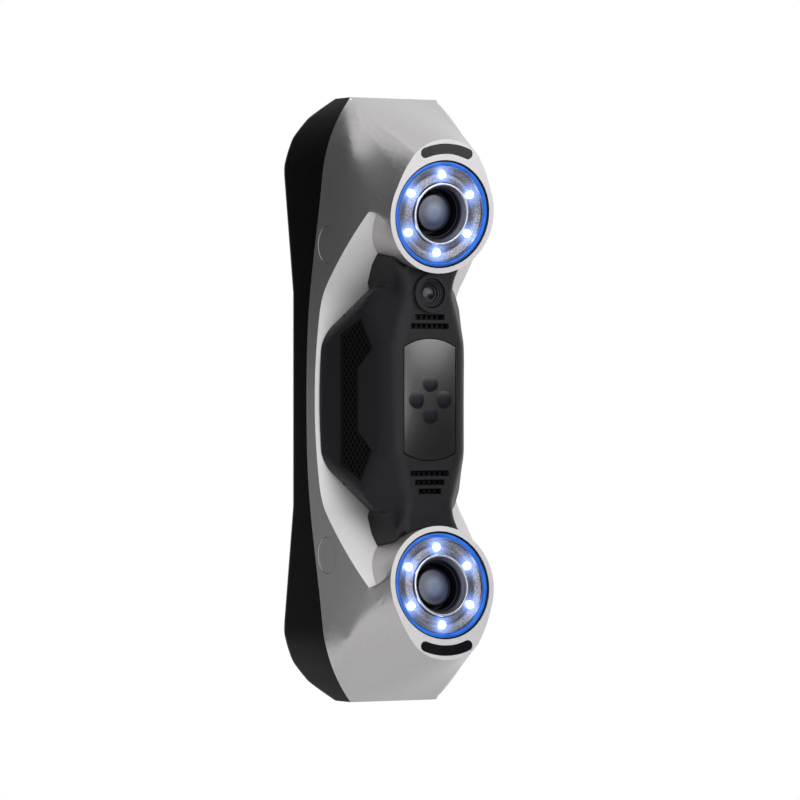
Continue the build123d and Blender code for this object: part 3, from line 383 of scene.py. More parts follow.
def metal(name, dark, light, rough, size, stretch=(1, 1, 1)):
    """Bare metal with marks that may be squeezed along an axis, sizes in millimetres."""
    return grained(
        name, dark, light, rough, mark_swing, size, mark_detail, mark_depth, stretch, Metallic=1.0
    )


# Turned aluminium: a bright cool ring with fine rings of light in it.
hood_metal = metal("turned_aluminium", "#b9bcc8", "#cfd2dd", 0.3, 0.3, (1, 12, 1))
# Milled aluminium: a plain grey with level marks.
frame_metal = metal("milled_aluminium", "#9a9a9c", "#b4b4b6", 0.4, 0.4, (1, 1, 8))
# Nickel-plated steel: a darker grey with a clear shine.
steel = metal("plated_steel", "#8f8f93", "#a5a5a9", 0.3, 0.3)
# Turned brass: a warm yellow that marks the tripod socket.
brass = metal("turned_brass", "#b08a3c", "#cfa653", 0.3, 0.3, (1, 1, 10))
print("metals", hood_metal.name, frame_metal.name, steel.name, brass.name)

# %% [markdown]
# ## Lit pieces
# The lamps glow white with a touch of blue, and the ring round them is a blue light guide that is lit from
# behind. Real lamps could stand behind clear plastic, but a glow in the material is quieter to render. A
# guide is never quite even, so a soft noise lets the glow swell and fade.

# %% Lit finishes
acrylic_ior = 1.49
cloud_size = 5.0
cloud_detail = 2.0


def lit(name, body, glow, strength, rough, uneven=0.15):
    """Clear plastic that glows, a little unevenly."""
    tones = {"Base Color": hex_colour(body), "Emission Color": hex_colour(glow)}
    material, tree, shader = start_material(name, **tones, Roughness=rough, IOR=acrylic_ior)
    spot = add_node(tree, "ShaderNodeTexCoord").outputs["Object"]
    noise = {"Scale": per_mm(cloud_size), "Detail": cloud_detail}
    cloud = add_node(tree, "ShaderNodeTexNoise", noise, {"Vector": spot}).outputs[0]
    swell = {"To Min": strength * (1 - uneven), "To Max": strength * (1 + uneven)}
    swell.update({"From Min": noise_low, "From Max": noise_high})
    power = add_node(tree, "ShaderNodeMapRange", swell, {"Value": cloud}).outputs["Result"]
    tree.links.new(power, shader.inputs["Emission Strength"])
    return material


# Clear silicone over a lamp chip: a cold white point that is brighter than anything else.
lamp_white = lit("lamp_lens", "#e8f0ff", "#a9c4ff", 8.0, 0.2)
# Tinted acrylic, lit from behind: a strong blue that never burns out.
guide_blue = lit("blue_light_guide", "#062656", "#1165d4", 0.85, 0.25, 0.3)
# Frosted acrylic: a faint cold light on the grip.
status_white = lit("status_lens", "#d8e4ee", "#cfe6ff", 0.4, 0.4)
print("lit", lamp_white.name, guide_blue.name, status_white.name)

# %% [markdown]
# ## Reflector
# The dish between the lamps is plated and covered with fine dimples, which break up the lamps' mirror
# images. Voronoi cells draw such dimples. The lamps also light the dish from close by, and that light is
# painted on as a glow. Its mesh carries an attribute that says how near a lamp each point is, because that
# gives the same soft glow from every side.

# %% Reflector finish
dimple_size = 0.45
dimple_depth = 0.012
dish_rough = {"To Min": 0.3, "To Max": 0.42}
# Brushed and dimpled plating: grey and lively, with a painted blue glow of lamp light round each lamp.
dish_start = {"Metallic": 1.0, "Emission Color": hex_colour("#7aa4ff")}
reflector_metal, tree, shader = start_material("brushed_reflector", **dish_start)
spot = add_node(tree, "ShaderNodeTexCoord").outputs["Object"]
cells = add_node(tree, "ShaderNodeTexVoronoi", {"Scale": per_mm(dimple_size)}, {"Vector": spot})
dimple = cells.outputs["Distance"]
share, tone = two_tones(tree, dimple, "#85868f", "#5f6069")
dull = add_node(tree, "ShaderNodeMapRange", dish_rough, {"Value": share}).outputs["Result"]
dented = {"Strength": 1.0, "Distance": dimple_depth * MM}
dents = add_node(tree, "ShaderNodeBump", dented, {"Height": dimple}).outputs[0]
near_lamp = add_node(tree, "ShaderNodeAttribute", attribute_name="painted_lamp_glow").outputs["Fac"]
dish_links = {"Base Color": tone, "Roughness": dull, "Normal": dents, "Emission Strength": near_lamp}
for socket, source in dish_links.items():
    tree.links.new(source, shader.inputs[socket])
print("reflector", reflector_metal.name)

# %% [markdown]
# ## Lenses and windows
# A coated camera lens looks milky in the middle and dark at its edge, from light reflected inside it. Clear
# glass over a modelled inside would show that only with many bounces of light, so that light is painted: an
# attribute on the mesh, one at the centre and zero at the edge, makes the glass paler towards the centre.
# The windows are smoked acrylic: nearly black, with a haze that is hard to see.

# %% Lens and window finishes
def painted_reflection_lens(name, edge, centre, **values):
    """Lens glass that turns from an edge tone to a paler centre tone, a painted reflection."""
    material, tree, shader = start_material(name, **values)
    depth = add_node(tree, "ShaderNodeAttribute", attribute_name="lens_centre").outputs["Fac"]
    tree.links.new(two_tones(tree, depth, edge, centre)[1], shader.inputs["Base Color"])
    return material


def acrylic(name, dark, light, size, **values):
    """Dark acrylic with a soft haze, size in millimetres."""
    material, tree, shader = start_material(name, **values)
    spot = add_node(tree, "ShaderNodeTexCoord").outputs["Object"]
    noise = {"Scale": per_mm(size), "Detail": cloud_detail}
    haze = add_node(tree, "ShaderNodeTexNoise", noise, {"Vector": spot}).outputs[0]
    tree.links.new(two_tones(tree, haze, dark, light)[1], shader.inputs["Base Color"])
    return material


# Coated glass with a painted reflection: a milky blue-grey eye.
coating = {"Roughness": 0.32, "IOR": 1.6, "Coat Weight": 0.25, "Coat Roughness": 0.2}
painted_lens = painted_reflection_lens("lens_painted_reflection", "#2e3550", "#6f7a94", **coating)
# Dark coated glass: small black lenses whose violet heart is a painted reflection.
dark_glass = painted_reflection_lens("dark_lens", "#121215", "#1c1b24", **{"Roughness": 0.2, "IOR": 1.5})
# Smoked acrylic with a hard coat, hence the high IOR: it mirrors the room as a soft gradient.
smoked = acrylic("smoked_acrylic", "#0a0a0b", "#0e0e10", 6.0, Roughness=0.22, IOR=2.0)
# Black acrylic: a plain dark window in each pod.
dark_acrylic = acrylic("black_acrylic", "#0b0c10", "#12131a", 4.0, Roughness=0.2, IOR=1.45)
print("lenses", painted_lens.name, dark_glass.name, "windows", smoked.name, dark_acrylic.name)

# %% [markdown]
# ## Boards and cloth
# The circuit boards hide inside the scanner, so bricks are enough to draw their tracks. The cloth behind
# the grilles is woven, and a checker draws its threads.

# %% Board and cloth finishes
track_size = 4.0
track_width = 0.06
thread_size = 0.5
# Green solder mask over copper: dark green with paler tracks.
board_green, tree, shader = start_material("circuit_board", **{"Roughness": 0.35, "IOR": 1.5})
spot = add_node(tree, "ShaderNodeTexCoord").outputs["Object"]
bricks = {"Scale": per_mm(track_size), "Mortar Size": track_width}
for socket, tone in (("Color1", "#0f4a2c"), ("Color2", "#0d4127"), ("Mortar", "#2b7a50")):
    bricks[socket] = hex_colour(tone)
tracks = add_node(tree, "ShaderNodeTexBrick", bricks, {"Vector": spot}).outputs["Color"]
tree.links.new(tracks, shader.inputs["Base Color"])
# Woven polyester: dull black that swallows the light behind the mesh.
dust_cloth, tree, shader = start_material("dust_cloth", **{"Roughness": 0.95})
spot = add_node(tree, "ShaderNodeTexCoord").outputs["Object"]
threads = {"Scale": per_mm(thread_size), "Color1": hex_colour("#050505"), "Color2": hex_colour("#0b0b0c")}
weave = add_node(tree, "ShaderNodeTexChecker", threads, {"Vector": spot}).outputs["Color"]
tree.links.new(weave, shader.inputs["Base Color"])
print("materials", len(bpy.data.materials))

# %% [markdown]
# ## Finishes on the CAD nodes
# Nodes whose solid shape is already right keep it and only take a finish. A list of finishes with their
# nodes is quicker to read and to change than one line for each node. The other nodes get new pieces further
# down.

# %% Assign finishes
finishes = {
    satin_silver: ["side_plugs"],
    grip_rubber: ["keypad_panel"],
    key_rubber: ["scan_key", "plus_key", "minus_key", "left_key", "right_key"],
    status_white: ["status_light"],
    mesh_black: ["left_grille", "right_grille", "upper_vent_screen", "lower_vent_screen"],
    barrel_black: ["colour_camera_body"],
    board_green: ["main_board", "power_board", "keypad_board"],
    chip_black: ["main_chips", "key_switches"],
    frame_metal: ["optical_frame", "heat_sink", "projector_housing"],
    fan_black: ["fan_frame", "fan_rotor"],
    steel: ["side_screws", "rear_screws", "usb_socket"],
    brass: ["tripod_insert"],
}
pod_finishes = {
    board_green: ["lamp_board", "sensor_board"],
    chip_black: ["image_sensor"],
    dark_acrylic: ["fill_window"],
    frame_metal: ["camera_bracket"],
}
dressed = [(name, material) for material, names in finishes.items() for name in names]
for material, names in pod_finishes.items():
    dressed += [(f"{end}_{name}", material) for name in names for end in ("upper", "lower")]
for name, material in dressed:
    nodes[name].data.materials.clear()
    nodes[name].data.materials.append(material)
print("finished nodes", len(dressed))

# %% [markdown]
# ## Rear shell
# The rear shell is a moulding with soft, even faces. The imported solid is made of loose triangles, which
# would each be shaded flat. A copy with its corners merged can be shaded smooth, with the edges kept sharp
# where two faces meet at an angle, and it stands in for the solid.

# %% Smooth the rear shell
join = 0.002 * MM
sliver = 0.005 * MM
shell_angle = 28


def merged_copy(node):
    """bmesh of a CAD node with its loose triangles joined."""
    bm = bmesh.new()
    bm.from_mesh(nodes[node].data)
    bmesh.ops.remove_doubles(bm, verts=bm.verts, dist=join)
    bmesh.ops.dissolve_degenerate(bm, dist=sliver, edges=bm.edges)
    return bm


def show(name, bm, materials, angle, node=None):
    """New piece on the scanner's body. It may stand for a CAD node."""
    piece = link_mesh(name, bm, materials, angle)
    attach(piece, "scanner_body")
    if node:
        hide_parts(node)
    return piece


bm = merged_copy("rear_shell")
rear = show("rear_shell_smooth", bm, [shell_black], shell_angle, "rear_shell")
print("rear shell faces", len(rear.data.polygons))

# %% [markdown]
# ## Soft pod shoulders
# The front shell is a casting whose side wall flows round into the pods. The solid turns there in a crease.
# A bevel would keep one width, but the real form swells and fades. So a copy is cut into a fine net near
# the crease and smoothed there, while ramp, rim and parting edge stay. All four quarters of the shell are
# alike, so each point is first folded into one quarter.

# %% Fold the four quarters into one
setback = 39.6 * MM
half_height = 101.5 * MM


def folded(point):
    """A point in the upper right quarter, with depth from the pods' faces and height from the middle."""
    return Vector((abs(point.x), point.y + setback, abs(point.z - half_height)))


def quarter(point):
    """Signs of the side and the end of the scanner that a point is on."""
    return (1 if point.x > 0 else -1), (1 if point.z > half_height else -1)


def line_distance(point, start, end):
    """Distance from a point to a straight line between two points."""
    run = end - start
    share = max(0.0, min(1.0, (point - start).dot(run) / run.length_squared))
    return (point - start - run * share).length


print("half height", half_height, "setback", setback)

# %% [markdown]
# ## Which corners are soft
# The smoothing may touch only the outer skin, near the lines where the form turns. A few points of the
# solid give these lines: the ramp's top and foot, the shoulder, the corner at the end and the side of the
# rim.

# %% Find the outer skin of the pods
pod_rise = 61.5 * MM
toe_in = radians(8)
skin_facing = Vector((0.75, -0.6, -0.3))
skin_least = -0.1
skin_from_height = 38 * MM
skin_from_side = 4 * MM


def faces_out(face):
    """True for the outer skin near the pods."""
    middle = face.calc_center_median()
    side, end = quarter(middle)
    outward = Vector((skin_facing.x * side, skin_facing.y, skin_facing.z * end))
    here = folded(middle)
    return face.normal.dot(outward) > skin_least and here.z > skin_from_height and here.x > skin_from_side


def behind_face(here):
    """Depth behind the plane of the pod's face, and distance from the pod's axis."""
    local = here - Vector((0, 0, pod_rise))
    depth = local.y * cos(toe_in) + local.z * sin(toe_in)
    upward = local.z * cos(toe_in) - local.y * sin(toe_in)
    return depth, Vector((local.x, upward)).length


bm = merged_copy("front_shell")
skin = [face for face in bm.faces if faces_out(face)]
print("skin faces", len(skin), "of", len(bm.faces))

# %% Say where the casting is soft
body_half_width = 26.0 * MM
rim_radius = 19.8 * MM
shoulder_height = 75.0 * MM
end_arc_radius = 42.06 * MM
ramp_top = Vector((23.0, 8.9, 62.2)) * MM
ramp_foot = Vector((26.0, 35.5, 35.0)) * MM
shoulder = Vector((25.4, 20.8, 81.9)) * MM
end_corner = Vector((16.6, 32.6, 101.5)) * MM
rim_side = Vector((19.8, 0.0, 61.5)) * MM
rim_low = Vector((19.6, 0.4, 58.8)) * MM
shoulder_reach = 8.0 * MM
flank_reach = 10.0 * MM
lip_reach = 7.0 * MM
end_narrowing = 0.75
fade_height = 6.0 * MM
rim_kept = 0.7 * MM
pinned = 0.04 * MM
ramp_run = Vector((0, *ramp_top[1:])) - Vector((0, *ramp_foot[1:]))
ramp_normal = ramp_run.cross(Vector((1, 0, 0))).normalized()


def on_ramp(here):
    """True on the plane of the ramp."""
    return abs((here - ramp_top).dot(ramp_normal)) < pinned


def near_shoulder(vert):
    """True where the casting flows from side wall to pod. The flow fades out at the ramp's top."""
    here = folded(vert.co)
    fade = max(0.0, min(1.0, (here.z - ramp_top.z) / fade_height))
    rise = max(0.0, (here.z - shoulder.z) / (end_corner.z - shoulder.z))
    if rise > 0:
        drop = min(here.z, end_corner.z) - shoulder_height
        across = body_half_width - end_arc_radius + (end_arc_radius ** 2 - drop ** 2) ** 0.5
        deep = shoulder.y + (end_corner.y - shoulder.y) * rise
        off = Vector((here.x - across, here.y - deep)).length
    else:
        off = line_distance(here, ramp_top, shoulder)
    close = off < shoulder_reach * (1 - end_narrowing * min(1.0, rise)) * fade
    close = close or line_distance(here, shoulder, rim_side) < flank_reach * fade
    depth, radius = behind_face(here)
    on_drum = abs(radius - rim_radius) < pinned and here.z < pod_rise
    return close and not on_ramp(here) and not on_drum and depth > rim_kept


def near_lip(vert):
    """True where the flank ends beside the drum, above the ramp's top."""
    here = folded(vert.co)
    close = line_distance(here, ramp_top, rim_low) < lip_reach
    return close and not on_ramp(here) and behind_face(here)[0] > rim_kept


print("ramp normal", [round(v, 2) for v in ramp_normal])

# %% [markdown]
# ## Net and smoothing
# Large triangles can't bend, so planes cut the skin into a net of small ones first. Then each soft corner
# moves to the middle of its neighbours, many times over, which evens out the form like sandpaper.

# %% Smooth the front shell
net_size = 1.2 * MM
net_from = 42 * MM
net_depth = 36 * MM
net_lead = 1 * MM
sideways, inwards, upwards = Vector((1, 0, 0)), Vector((0, 1, 0)), Vector((0, 0, 1))
shoulder_rounds = 110
lip_rounds = 45


def rows(start, length):
    """Even steps of the net from a start along a length."""
    return [start + index * net_size for index in range(int(length / net_size))]


def level_cuts(start, length):
    """Level planes of the net, above and below the scanner's middle."""
    heights = [end * height for height in rows(start, length) for end in (1, -1)]
    return [(upwards * (half_height + height), upwards) for height in heights]


def cut_net(bm, skin, cuts):
    """Cut faces by a row of planes and split what comes out into triangles."""
    geom = skin + list({e for f in skin for e in f.edges}) + list({v for f in skin for v in f.verts})
    for spot, normal in cuts:
        geom = bmesh.ops.bisect_plane(bm, geom=geom, dist=join, plane_co=spot, plane_no=normal)["geom"]
    bmesh.ops.triangulate(bm, faces=[item for item in geom if isinstance(item, bmesh.types.BMFace)])
    bm.normal_update()


def relax(bm, verts, rounds):
    """Smooth corners a number of times."""
    for turn in range(rounds):
        bmesh.ops.smooth_vert(bm, verts=verts, factor=0.5, use_axis_x=True, use_axis_y=True, use_axis_z=True)


cuts = level_cuts(net_from, half_height - net_from)
cuts += [(inwards * depth, inwards) for depth in rows(-setback - net_lead, net_depth)]
cut_net(bm, skin, cuts)
inner = {v for f in bm.faces if not faces_out(f) for v in f.verts}
soft = [v for v in bm.verts if v not in inner and near_shoulder(v)]
lip = [v for v in bm.verts if v not in inner and near_lip(v)]
relax(bm, soft, shoulder_rounds)
relax(bm, lip, lip_rounds)
print("soft corners", len(soft), "lip corners", len(lip), "faces", len(bm.faces))

# %% [markdown]
# ## Ramps and rims
# The ramps between the pods and the flat faces of the pods catch more light than the rest of the casting,
# and that light is painted on as paler materials. They could be pieces of their own, but the real shell is
# one casting, so its faces only take another material each.

# %% Paint light on the ramps and the rims
side_limit = 0.2
front_limit = -0.5
# Painted light: ramps take slot 1 and the pods' flat faces slot 2, the paler silvers.
for face in bm.faces:
    here = folded(face.calc_center_median())
    level = abs(face.normal.x) < side_limit and face.normal.y < front_limit
    if level and here.z < ramp_top.z and here.y > ramp_top.y:
        face.material_index = 1
    elif behind_face(here)[0] < pinned:
        face.material_index = 2
silvers = [satin_silver, ramp_light_silver, rim_silver]
front = show("front_shell_smooth", bm, silvers, shell_angle, "front_shell")
print("front shell faces", len(front.data.polygons))

# %% [markdown]
# ## Round wing corners
# The cover's wings end in round corners against the silver. A bevel along each wing's edge rounds them. A
# bevel can only be as wide as the edges beside it are long, so the short pieces of edge at the cover's seat
# are joined to long ones first. The grille's opening is tied to the wing's foot, so that its face stays
# whole.

# %% Round the wings of the cover
wing_start = Vector((19.07, 21.46, 32.51)) * MM
wing_end = Vector((24.18, 38.28, 21.48)) * MM
wing_foot = Vector((24.4, 39.0, 16.71)) * MM
grille_corner = Vector((21.85, 30.59, 21.65)) * MM
wing_round = 3.3 * MM
wing_steps = 6
corner_reach = 7.0 * MM
flat_angle = radians(0.5)
seat_angle = radians(4)


def soften(bm, width, edges, steps=3, clamp=True):
    """Bevel edges to a round."""
    bmesh.ops.bevel(
        bm, geom=edges, offset=width, offset_type="OFFSET", segments=steps, profile=0.5, affect="EDGES",
        material=-1, clamp_overlap=clamp,
    )


def corner_at(bm, spot, side, end):
    """Corner of a mesh that is nearest to a folded point, on one side and at one end."""
    place = Vector((side * spot.x, spot.y - setback, half_height + end * spot.z))
    return min(bm.verts, key=lambda vert: (vert.co - place).length)


def on_wing_edge(edge):
    """True for the outer edge of a wing, whose corner shows in the cover's outline."""
    ends = [folded(vert.co) for vert in edge.verts]
    on_line = all(line_distance(end, wing_start, wing_end) < pinned for end in ends)
    return on_line and abs(ends[0].z - ends[1].z) > wing_round


bm = merged_copy("centre_cover")
bmesh.ops.dissolve_limit(bm, angle_limit=flat_angle, verts=bm.verts, edges=bm.edges)
for side in (1, -1):
    for end in (1, -1):
        ties = [corner_at(bm, spot, side, end) for spot in (wing_foot, grille_corner)]
        bmesh.ops.connect_verts(bm, verts=ties)
rim = [v for v in bm.verts if line_distance(folded(v.co), wing_end, wing_foot) < pinned]
rim = [v for v in rim if wing_foot.z + pinned < folded(v.co).z < wing_end.z - pinned]
short = {edge for vert in rim for edge in vert.link_edges if edge.calc_face_angle(0) < seat_angle}
bmesh.ops.dissolve_edges(bm, edges=list(short), use_verts=True)
corner = {vert for vert in bm.verts if (folded(vert.co) - wing_end).length < corner_reach}
seat = [edge for edge in bm.edges if corner.issuperset(edge.verts)]
bmesh.ops.dissolve_limit(bm, angle_limit=seat_angle, verts=list(corner), edges=seat)
wing_edges = [edge for edge in bm.edges if on_wing_edge(edge)]
soften(bm, wing_round, wing_edges, wing_steps, clamp=False)
bmesh.ops.triangulate(bm, faces=bm.faces[:])
print("wing edges", len(wing_edges))

# %% [markdown]
# ## Soft cover edges
# A moulded cover has no knife edges either: its facets meet in rounds and its wings run into the neck.
# Rounds of so many widths would clash as bevels, so the same net and smoothing work here, along the lines
# where the facets meet. Each line has its own reach, and all are in millimetres in the folded quarter.

# %% Smooth the cover
cover_lines = (
    ((16.75, 13.8, 0), (16.75, 13.8, 18), 3.0),
    ((16.75, 13.8, 18), (19.1, 21.5, 32.5), 3.0),
    ((19.1, 21.5, 32.5), (15, 17.9, 37.5), 4.0),
    ((15, 17.9, 37.5), (10.5, 12.2, 37.5), 5.0),
    ((10.5, 12.2, 37.5), (10.5, 28.7, 37.5), 5.0),
    ((15, 17.9, 37.5), (10.5, 28.7, 37.5), 4.5),
    ((19.1, 21.5, 32.5), (24.2, 38.3, 21.5), 2.6),
    ((12.4, 8.3, 0), (12.4, 8.3, 18), 1.6),
    ((12.4, 8.3, 18), (7.9, 8.3, 35.7), 2.0),
    ((7.9, 8.3, 35.7), (10.5, 8.3, 45.3), 1.6),
)
cover_edges = [(Vector(start) * MM, Vector(end) * MM, reach * MM) for start, end, reach in cover_lines]
cover_facing = Vector((0.6, -0.8, 0.5))
cover_net_from = Vector((6.1, 7.7, 1.0)) * MM
cover_net_size = Vector((20, 32, 45)) * MM
cover_rounds = 25
cover_angle = 32


def cover_faces_out(face):
    """True for the cover's outer skin."""
    side, end = quarter(face.calc_center_median())
    return face.normal.dot(Vector((cover_facing.x * side, cover_facing.y, cover_facing.z * end))) > 0


def near_cover_edge(vert):
    """True close to a line where two facets meet."""
    here = folded(vert.co)
    return any(line_distance(here, start, end) < reach for start, end, reach in cover_edges)


cuts = level_cuts(cover_net_from.z, cover_net_size.z)
cuts += [(inwards * (depth - setback), inwards) for depth in rows(cover_net_from.y, cover_net_size.y)]
widths = rows(cover_net_from.x, cover_net_size.x)
cuts += [(sideways * side * width, sideways) for width in widths for side in (1, -1)]
cut_net(bm, [face for face in bm.faces if cover_faces_out(face)], cuts)
inner = {v for f in bm.faces if not cover_faces_out(f) for v in f.verts}
soft = [v for v in bm.verts if v not in inner and near_cover_edge(v)]
relax(bm, soft, cover_rounds)
cover = show("centre_cover_smooth", bm, [cover_black], cover_angle, "centre_cover")
print("soft cover corners", len(soft), "faces", len(cover.data.polygons))

# %% [markdown]
# ## Turned pieces
# Rings, hoods, barrels and lenses are turned on a lathe. A half profile that spins once round the lens axis
# makes each of them as the lathe does, and keeps its faces in even rings. A profile's points are radius and
# height from the pod's face, in millimetres. Each pod has a frame of its own, tilted by its toe-in.

# %% Spin a profile
ring_steps = 96
lathe_join = 0.001 * MM


def spun(profile, matrix, steps=ring_steps, closed=True, into=None):
    """bmesh of a profile of radius and height that spins once about an axis."""
    bm = into or bmesh.new()
    verts = [bm.verts.new((radius * MM, 0, height * MM)) for radius, height in profile]
    pairs = list(zip(verts, verts[1:] + verts[:1]))
    edges = [bm.edges.new(pair) for pair in (pairs if closed else pairs[:-1])]
    bmesh.ops.spin(
        bm, geom=verts + edges, cent=(0, 0, 0), axis=(0, 0, 1), angle=2 * pi, steps=steps, use_merge=True
    )
    fresh = [v for v in bm.verts if not v.tag]
    bmesh.ops.remove_doubles(bm, verts=fresh, dist=lathe_join)
    fresh = [v for v in bm.verts if not v.tag]
    bmesh.ops.transform(bm, verts=fresh, matrix=matrix)
    for vert in fresh:
        vert.tag = True
    bmesh.ops.recalc_face_normals(bm, faces=bm.faces)
    return bm


pods = {}
for name, end in (("upper", 1), ("lower", -1)):
    across = Vector((end, 0, 0))
    outward = Vector((0, -cos(toe_in), -end * sin(toe_in)))
    turned = Matrix((across, outward.cross(across), outward)).transposed().to_4x4()
    pods[name] = Matrix.Translation((0, -setback, half_height + end * pod_rise)) @ turned
print("pods", list(pods))

# %% [markdown]
# ## Light ring, painted shade ring and hood
# A blue light guide runs round each pod, and a black ring fills the gap outside it: painted shade, the dark
# of the gap. The hood is bright turned metal with a wide bevel towards the lens, and inside it stands the
# black barrel. A sharp lathe edge would catch no light, so every edge gets a small round.

# %% Turn the pod's rings
crisp_angle = radians(30)
turned_angle = 40


def sharp_edges(bm):
    """Edges that turn by more than a small angle."""
    return [e for e in bm.edges if e.is_manifold and e.calc_face_angle() > crisp_angle]


ring_profile = [(16.3, -5.5), (17.5, -5.5), (17.5, -0.4), (16.3, -0.4)]
gap_shade_profile = [(17.45, -5.6), (18.0, -5.6), (18.0, -0.5), (17.45, -0.5)]
hood_profile = [(10.4, -7), (10.4, -0.6), (10.2, -0.4), (9.7, -0.4), (8.8, -2.6), (8.8, -7)]
barrel_profile = [
    (8.75, -2.8), (8.45, -2.8), (8.3, -4.4), (8.0, -4.4), (7.9, -10.5), (6.5, -10.5), (6.5, -6.0),
    (6.15, -5.5), (5.85, -5.5), (5.85, -30.3), (8.2, -30.3), (8.2, -11.5), (11.5, -11.5), (11.5, -9.6),
    (8.75, -9.6),
]
# Name, profile, size of its rounds in millimetres, finish and slot.
turned_pieces = (
    ("accent_ring", ring_profile, 0.4, guide_blue, "blue_light_guide"),
    ("gap_shade_ring", gap_shade_profile, 0.1, gap_shade_black, "black_shell"),
    ("lens_hood", hood_profile, 0.12, hood_metal, "hood_metal"),
    ("lens_barrel", barrel_profile, 0.08, barrel_black, "lens_black"),
)
for end, matrix in pods.items():
    for name, profile, round_size, material, slot in turned_pieces:
        bm = spun(profile, matrix)
        soften(bm, round_size * MM, sharp_edges(bm))
        # The painted shade ring has no CAD node to stand for.
        node = f"{end}_{name}"
        show(f"{node}_turned", bm, [material], turned_angle, node if node in nodes else None)
    print(end, "rings", len(turned_pieces))

# %% [markdown]
# ## Reflector
# The reflector is a shallow dish with a thin lip, pressed from sheet and plated. It is turned as the rings
# are. Each of its points gets a value that falls off with the distance to the nearest lamp, for the finish
# to read as painted lamp light.

# %% Turn the reflector
lamp_circle = 13
lamp_turns = [radians(turn) for turn in (30, 90, 150, 210, 270, 330)]
lamp_spots = [(lamp_circle * cos(turn), lamp_circle * sin(turn)) for turn in lamp_turns]
glow_reach = 3.0
glow_strength = 1.3
dish_steps = 14
dish_ring_steps = 180
dish_outer = 15.55
dish_width = 4.85
dish_edge = -1.35
dish_sag = 0.9
shares = [index / dish_steps for index in range(dish_steps + 1)]
dish = [(dish_outer - share * dish_width, dish_edge - dish_sag * sin(pi * share)) for share in shares]
reflector_profile = [(10.65, -5.7), (16.05, -5.7), (16.05, -0.8), (15.7, -0.8), *dish]
for end, matrix in pods.items():
    bm = spun(reflector_profile, matrix, dish_ring_steps)
    glow_layer = bm.verts.layers.float.new("painted_lamp_glow")
    back = matrix.inverted()
    for vert in bm.verts:
        here = back @ vert.co / MM
        spread = [((here.x - x) ** 2 + (here.y - y) ** 2) / glow_reach ** 2 for x, y in lamp_spots]
        vert[glow_layer] = sum(glow_strength * exp(-s) for s in spread)
    node = f"{end}_lamp_reflector"
    show(f"{end}_reflector_dish", bm, [reflector_metal], turned_angle, node)
print("dish points", len(dish))

# %% [markdown]
# ## Lamps
# Each lamp is a small dome of clear silicone. A ball would do from the front, but a turned dome with a foot
# also closes the hole in the dish.

# %% Turn the lamps
lamp_radius = 1.35
lamp_base = -2.25
foot_radius = 1.3
foot_height = -3.4
lamp_steps = 24
lamp_angle = 50
dome_turns = [radians(turn) for turn in (0, 15, 30, 45, 60, 75, 90)]
dome = [(lamp_radius * sin(turn), lamp_base + lamp_radius * cos(turn)) for turn in dome_turns]
lamp_profile = [*dome, (foot_radius, foot_height), (0, foot_height)]
for end, matrix in pods.items():
    bm = bmesh.new()
    for x, y in lamp_spots:
        spun(lamp_profile, matrix @ Matrix.Translation((x * MM, y * MM, 0)), lamp_steps, False, bm)
    show(f"{end}_lamp_domes", bm, [lamp_white], lamp_angle, f"{end}_lamp_leds")
print("lamps", 2 * len(lamp_spots))

# %% [markdown]
# ## Lenses
# A ground lens is a slice of a ball. Radius and sag give the ball's size, and so the dome's profile. The
# mesh carries a value that is one at the centre and zero at the edge, which the lens finish reads to paint
# its reflection.

# %% Turn the camera lenses
lens_rings = 8
lens_steps = 64


def lens_piece(name, node, matrices, material, radius, top, sag, thickness):
    """Domed lenses with their painted-reflection value in place of a CAD node, sizes in millimetres."""
    bm = bmesh.new()
    ball = (radius ** 2 + sag ** 2) / (2 * sag)
    radii = [radius * ring / lens_rings for ring in range(lens_rings + 1)]
    dome = [(off, top - ball + (ball ** 2 - off ** 2) ** 0.5) for off in radii]
    profile = [*dome, (radius, top - thickness), (0, top - thickness)]
    for matrix in matrices:
        spun(profile, matrix, lens_steps, False, bm)
    layer = bm.verts.layers.float.new("lens_centre")
    for vert in bm.verts:
        offs = [(matrix.inverted() @ vert.co / MM).xy.length for matrix in matrices]
        vert[layer] = max(0.0, 1 - min(offs) / radius)
    return show(name, bm, [material], turned_angle, node)


lens_sizes = {"radius": 5.8, "top": -5.2, "sag": 0.8, "thickness": 3.0}
for end, matrix in pods.items():
    piece = lens_piece(f"{end}_lens_dome", f"{end}_lens_glass", [matrix], painted_lens, **lens_sizes)
print("lens faces", len(piece.data.polygons))

# %% [markdown]
# ## Colour camera
# Between the upper pod and the window sits a small colour camera. Its bezel steps down to the lens in
# rings, like a funnel, which keeps stray light out. The steps are points of one profile.

# %% Turn the colour camera
front_turn = Matrix.Rotation(radians(90), 4, "X")
colour_spot = Vector((0, 6.8, 35.4)) * MM + Vector((0, -setback, half_height))
colour_matrix = Matrix.Translation(colour_spot) @ front_turn
bezel_round = 0.07 * MM
bezel_profile = [
    (4.7, -3.9), (4.7, -0.7), (4.3, -0.7), (4.15, -1.1), (3.75, -1.1), (3.6, -1.5), (3.1, -1.6), (3.0, -2.3),
    (2.3, -2.3), (2.3, -3.9),
]
bm = spun(bezel_profile, colour_matrix)
soften(bm, bezel_round, sharp_edges(bm))
show("colour_bezel_rings", bm, [barrel_black], turned_angle, "colour_camera_bezel")
lens_sizes = {"radius": 2.28, "top": -1.7, "sag": 0.5, "thickness": 2.0}
lens_piece("colour_lens_dome", "colour_camera_lens", [colour_matrix], dark_glass, **lens_sizes)
print("bezel points", len(bezel_profile))

# %% [markdown]
# ## Projector lenses
# Four round lenses look out through the smoked window. They stand a little proud of it, because the window
# is crowned and would otherwise cover them.

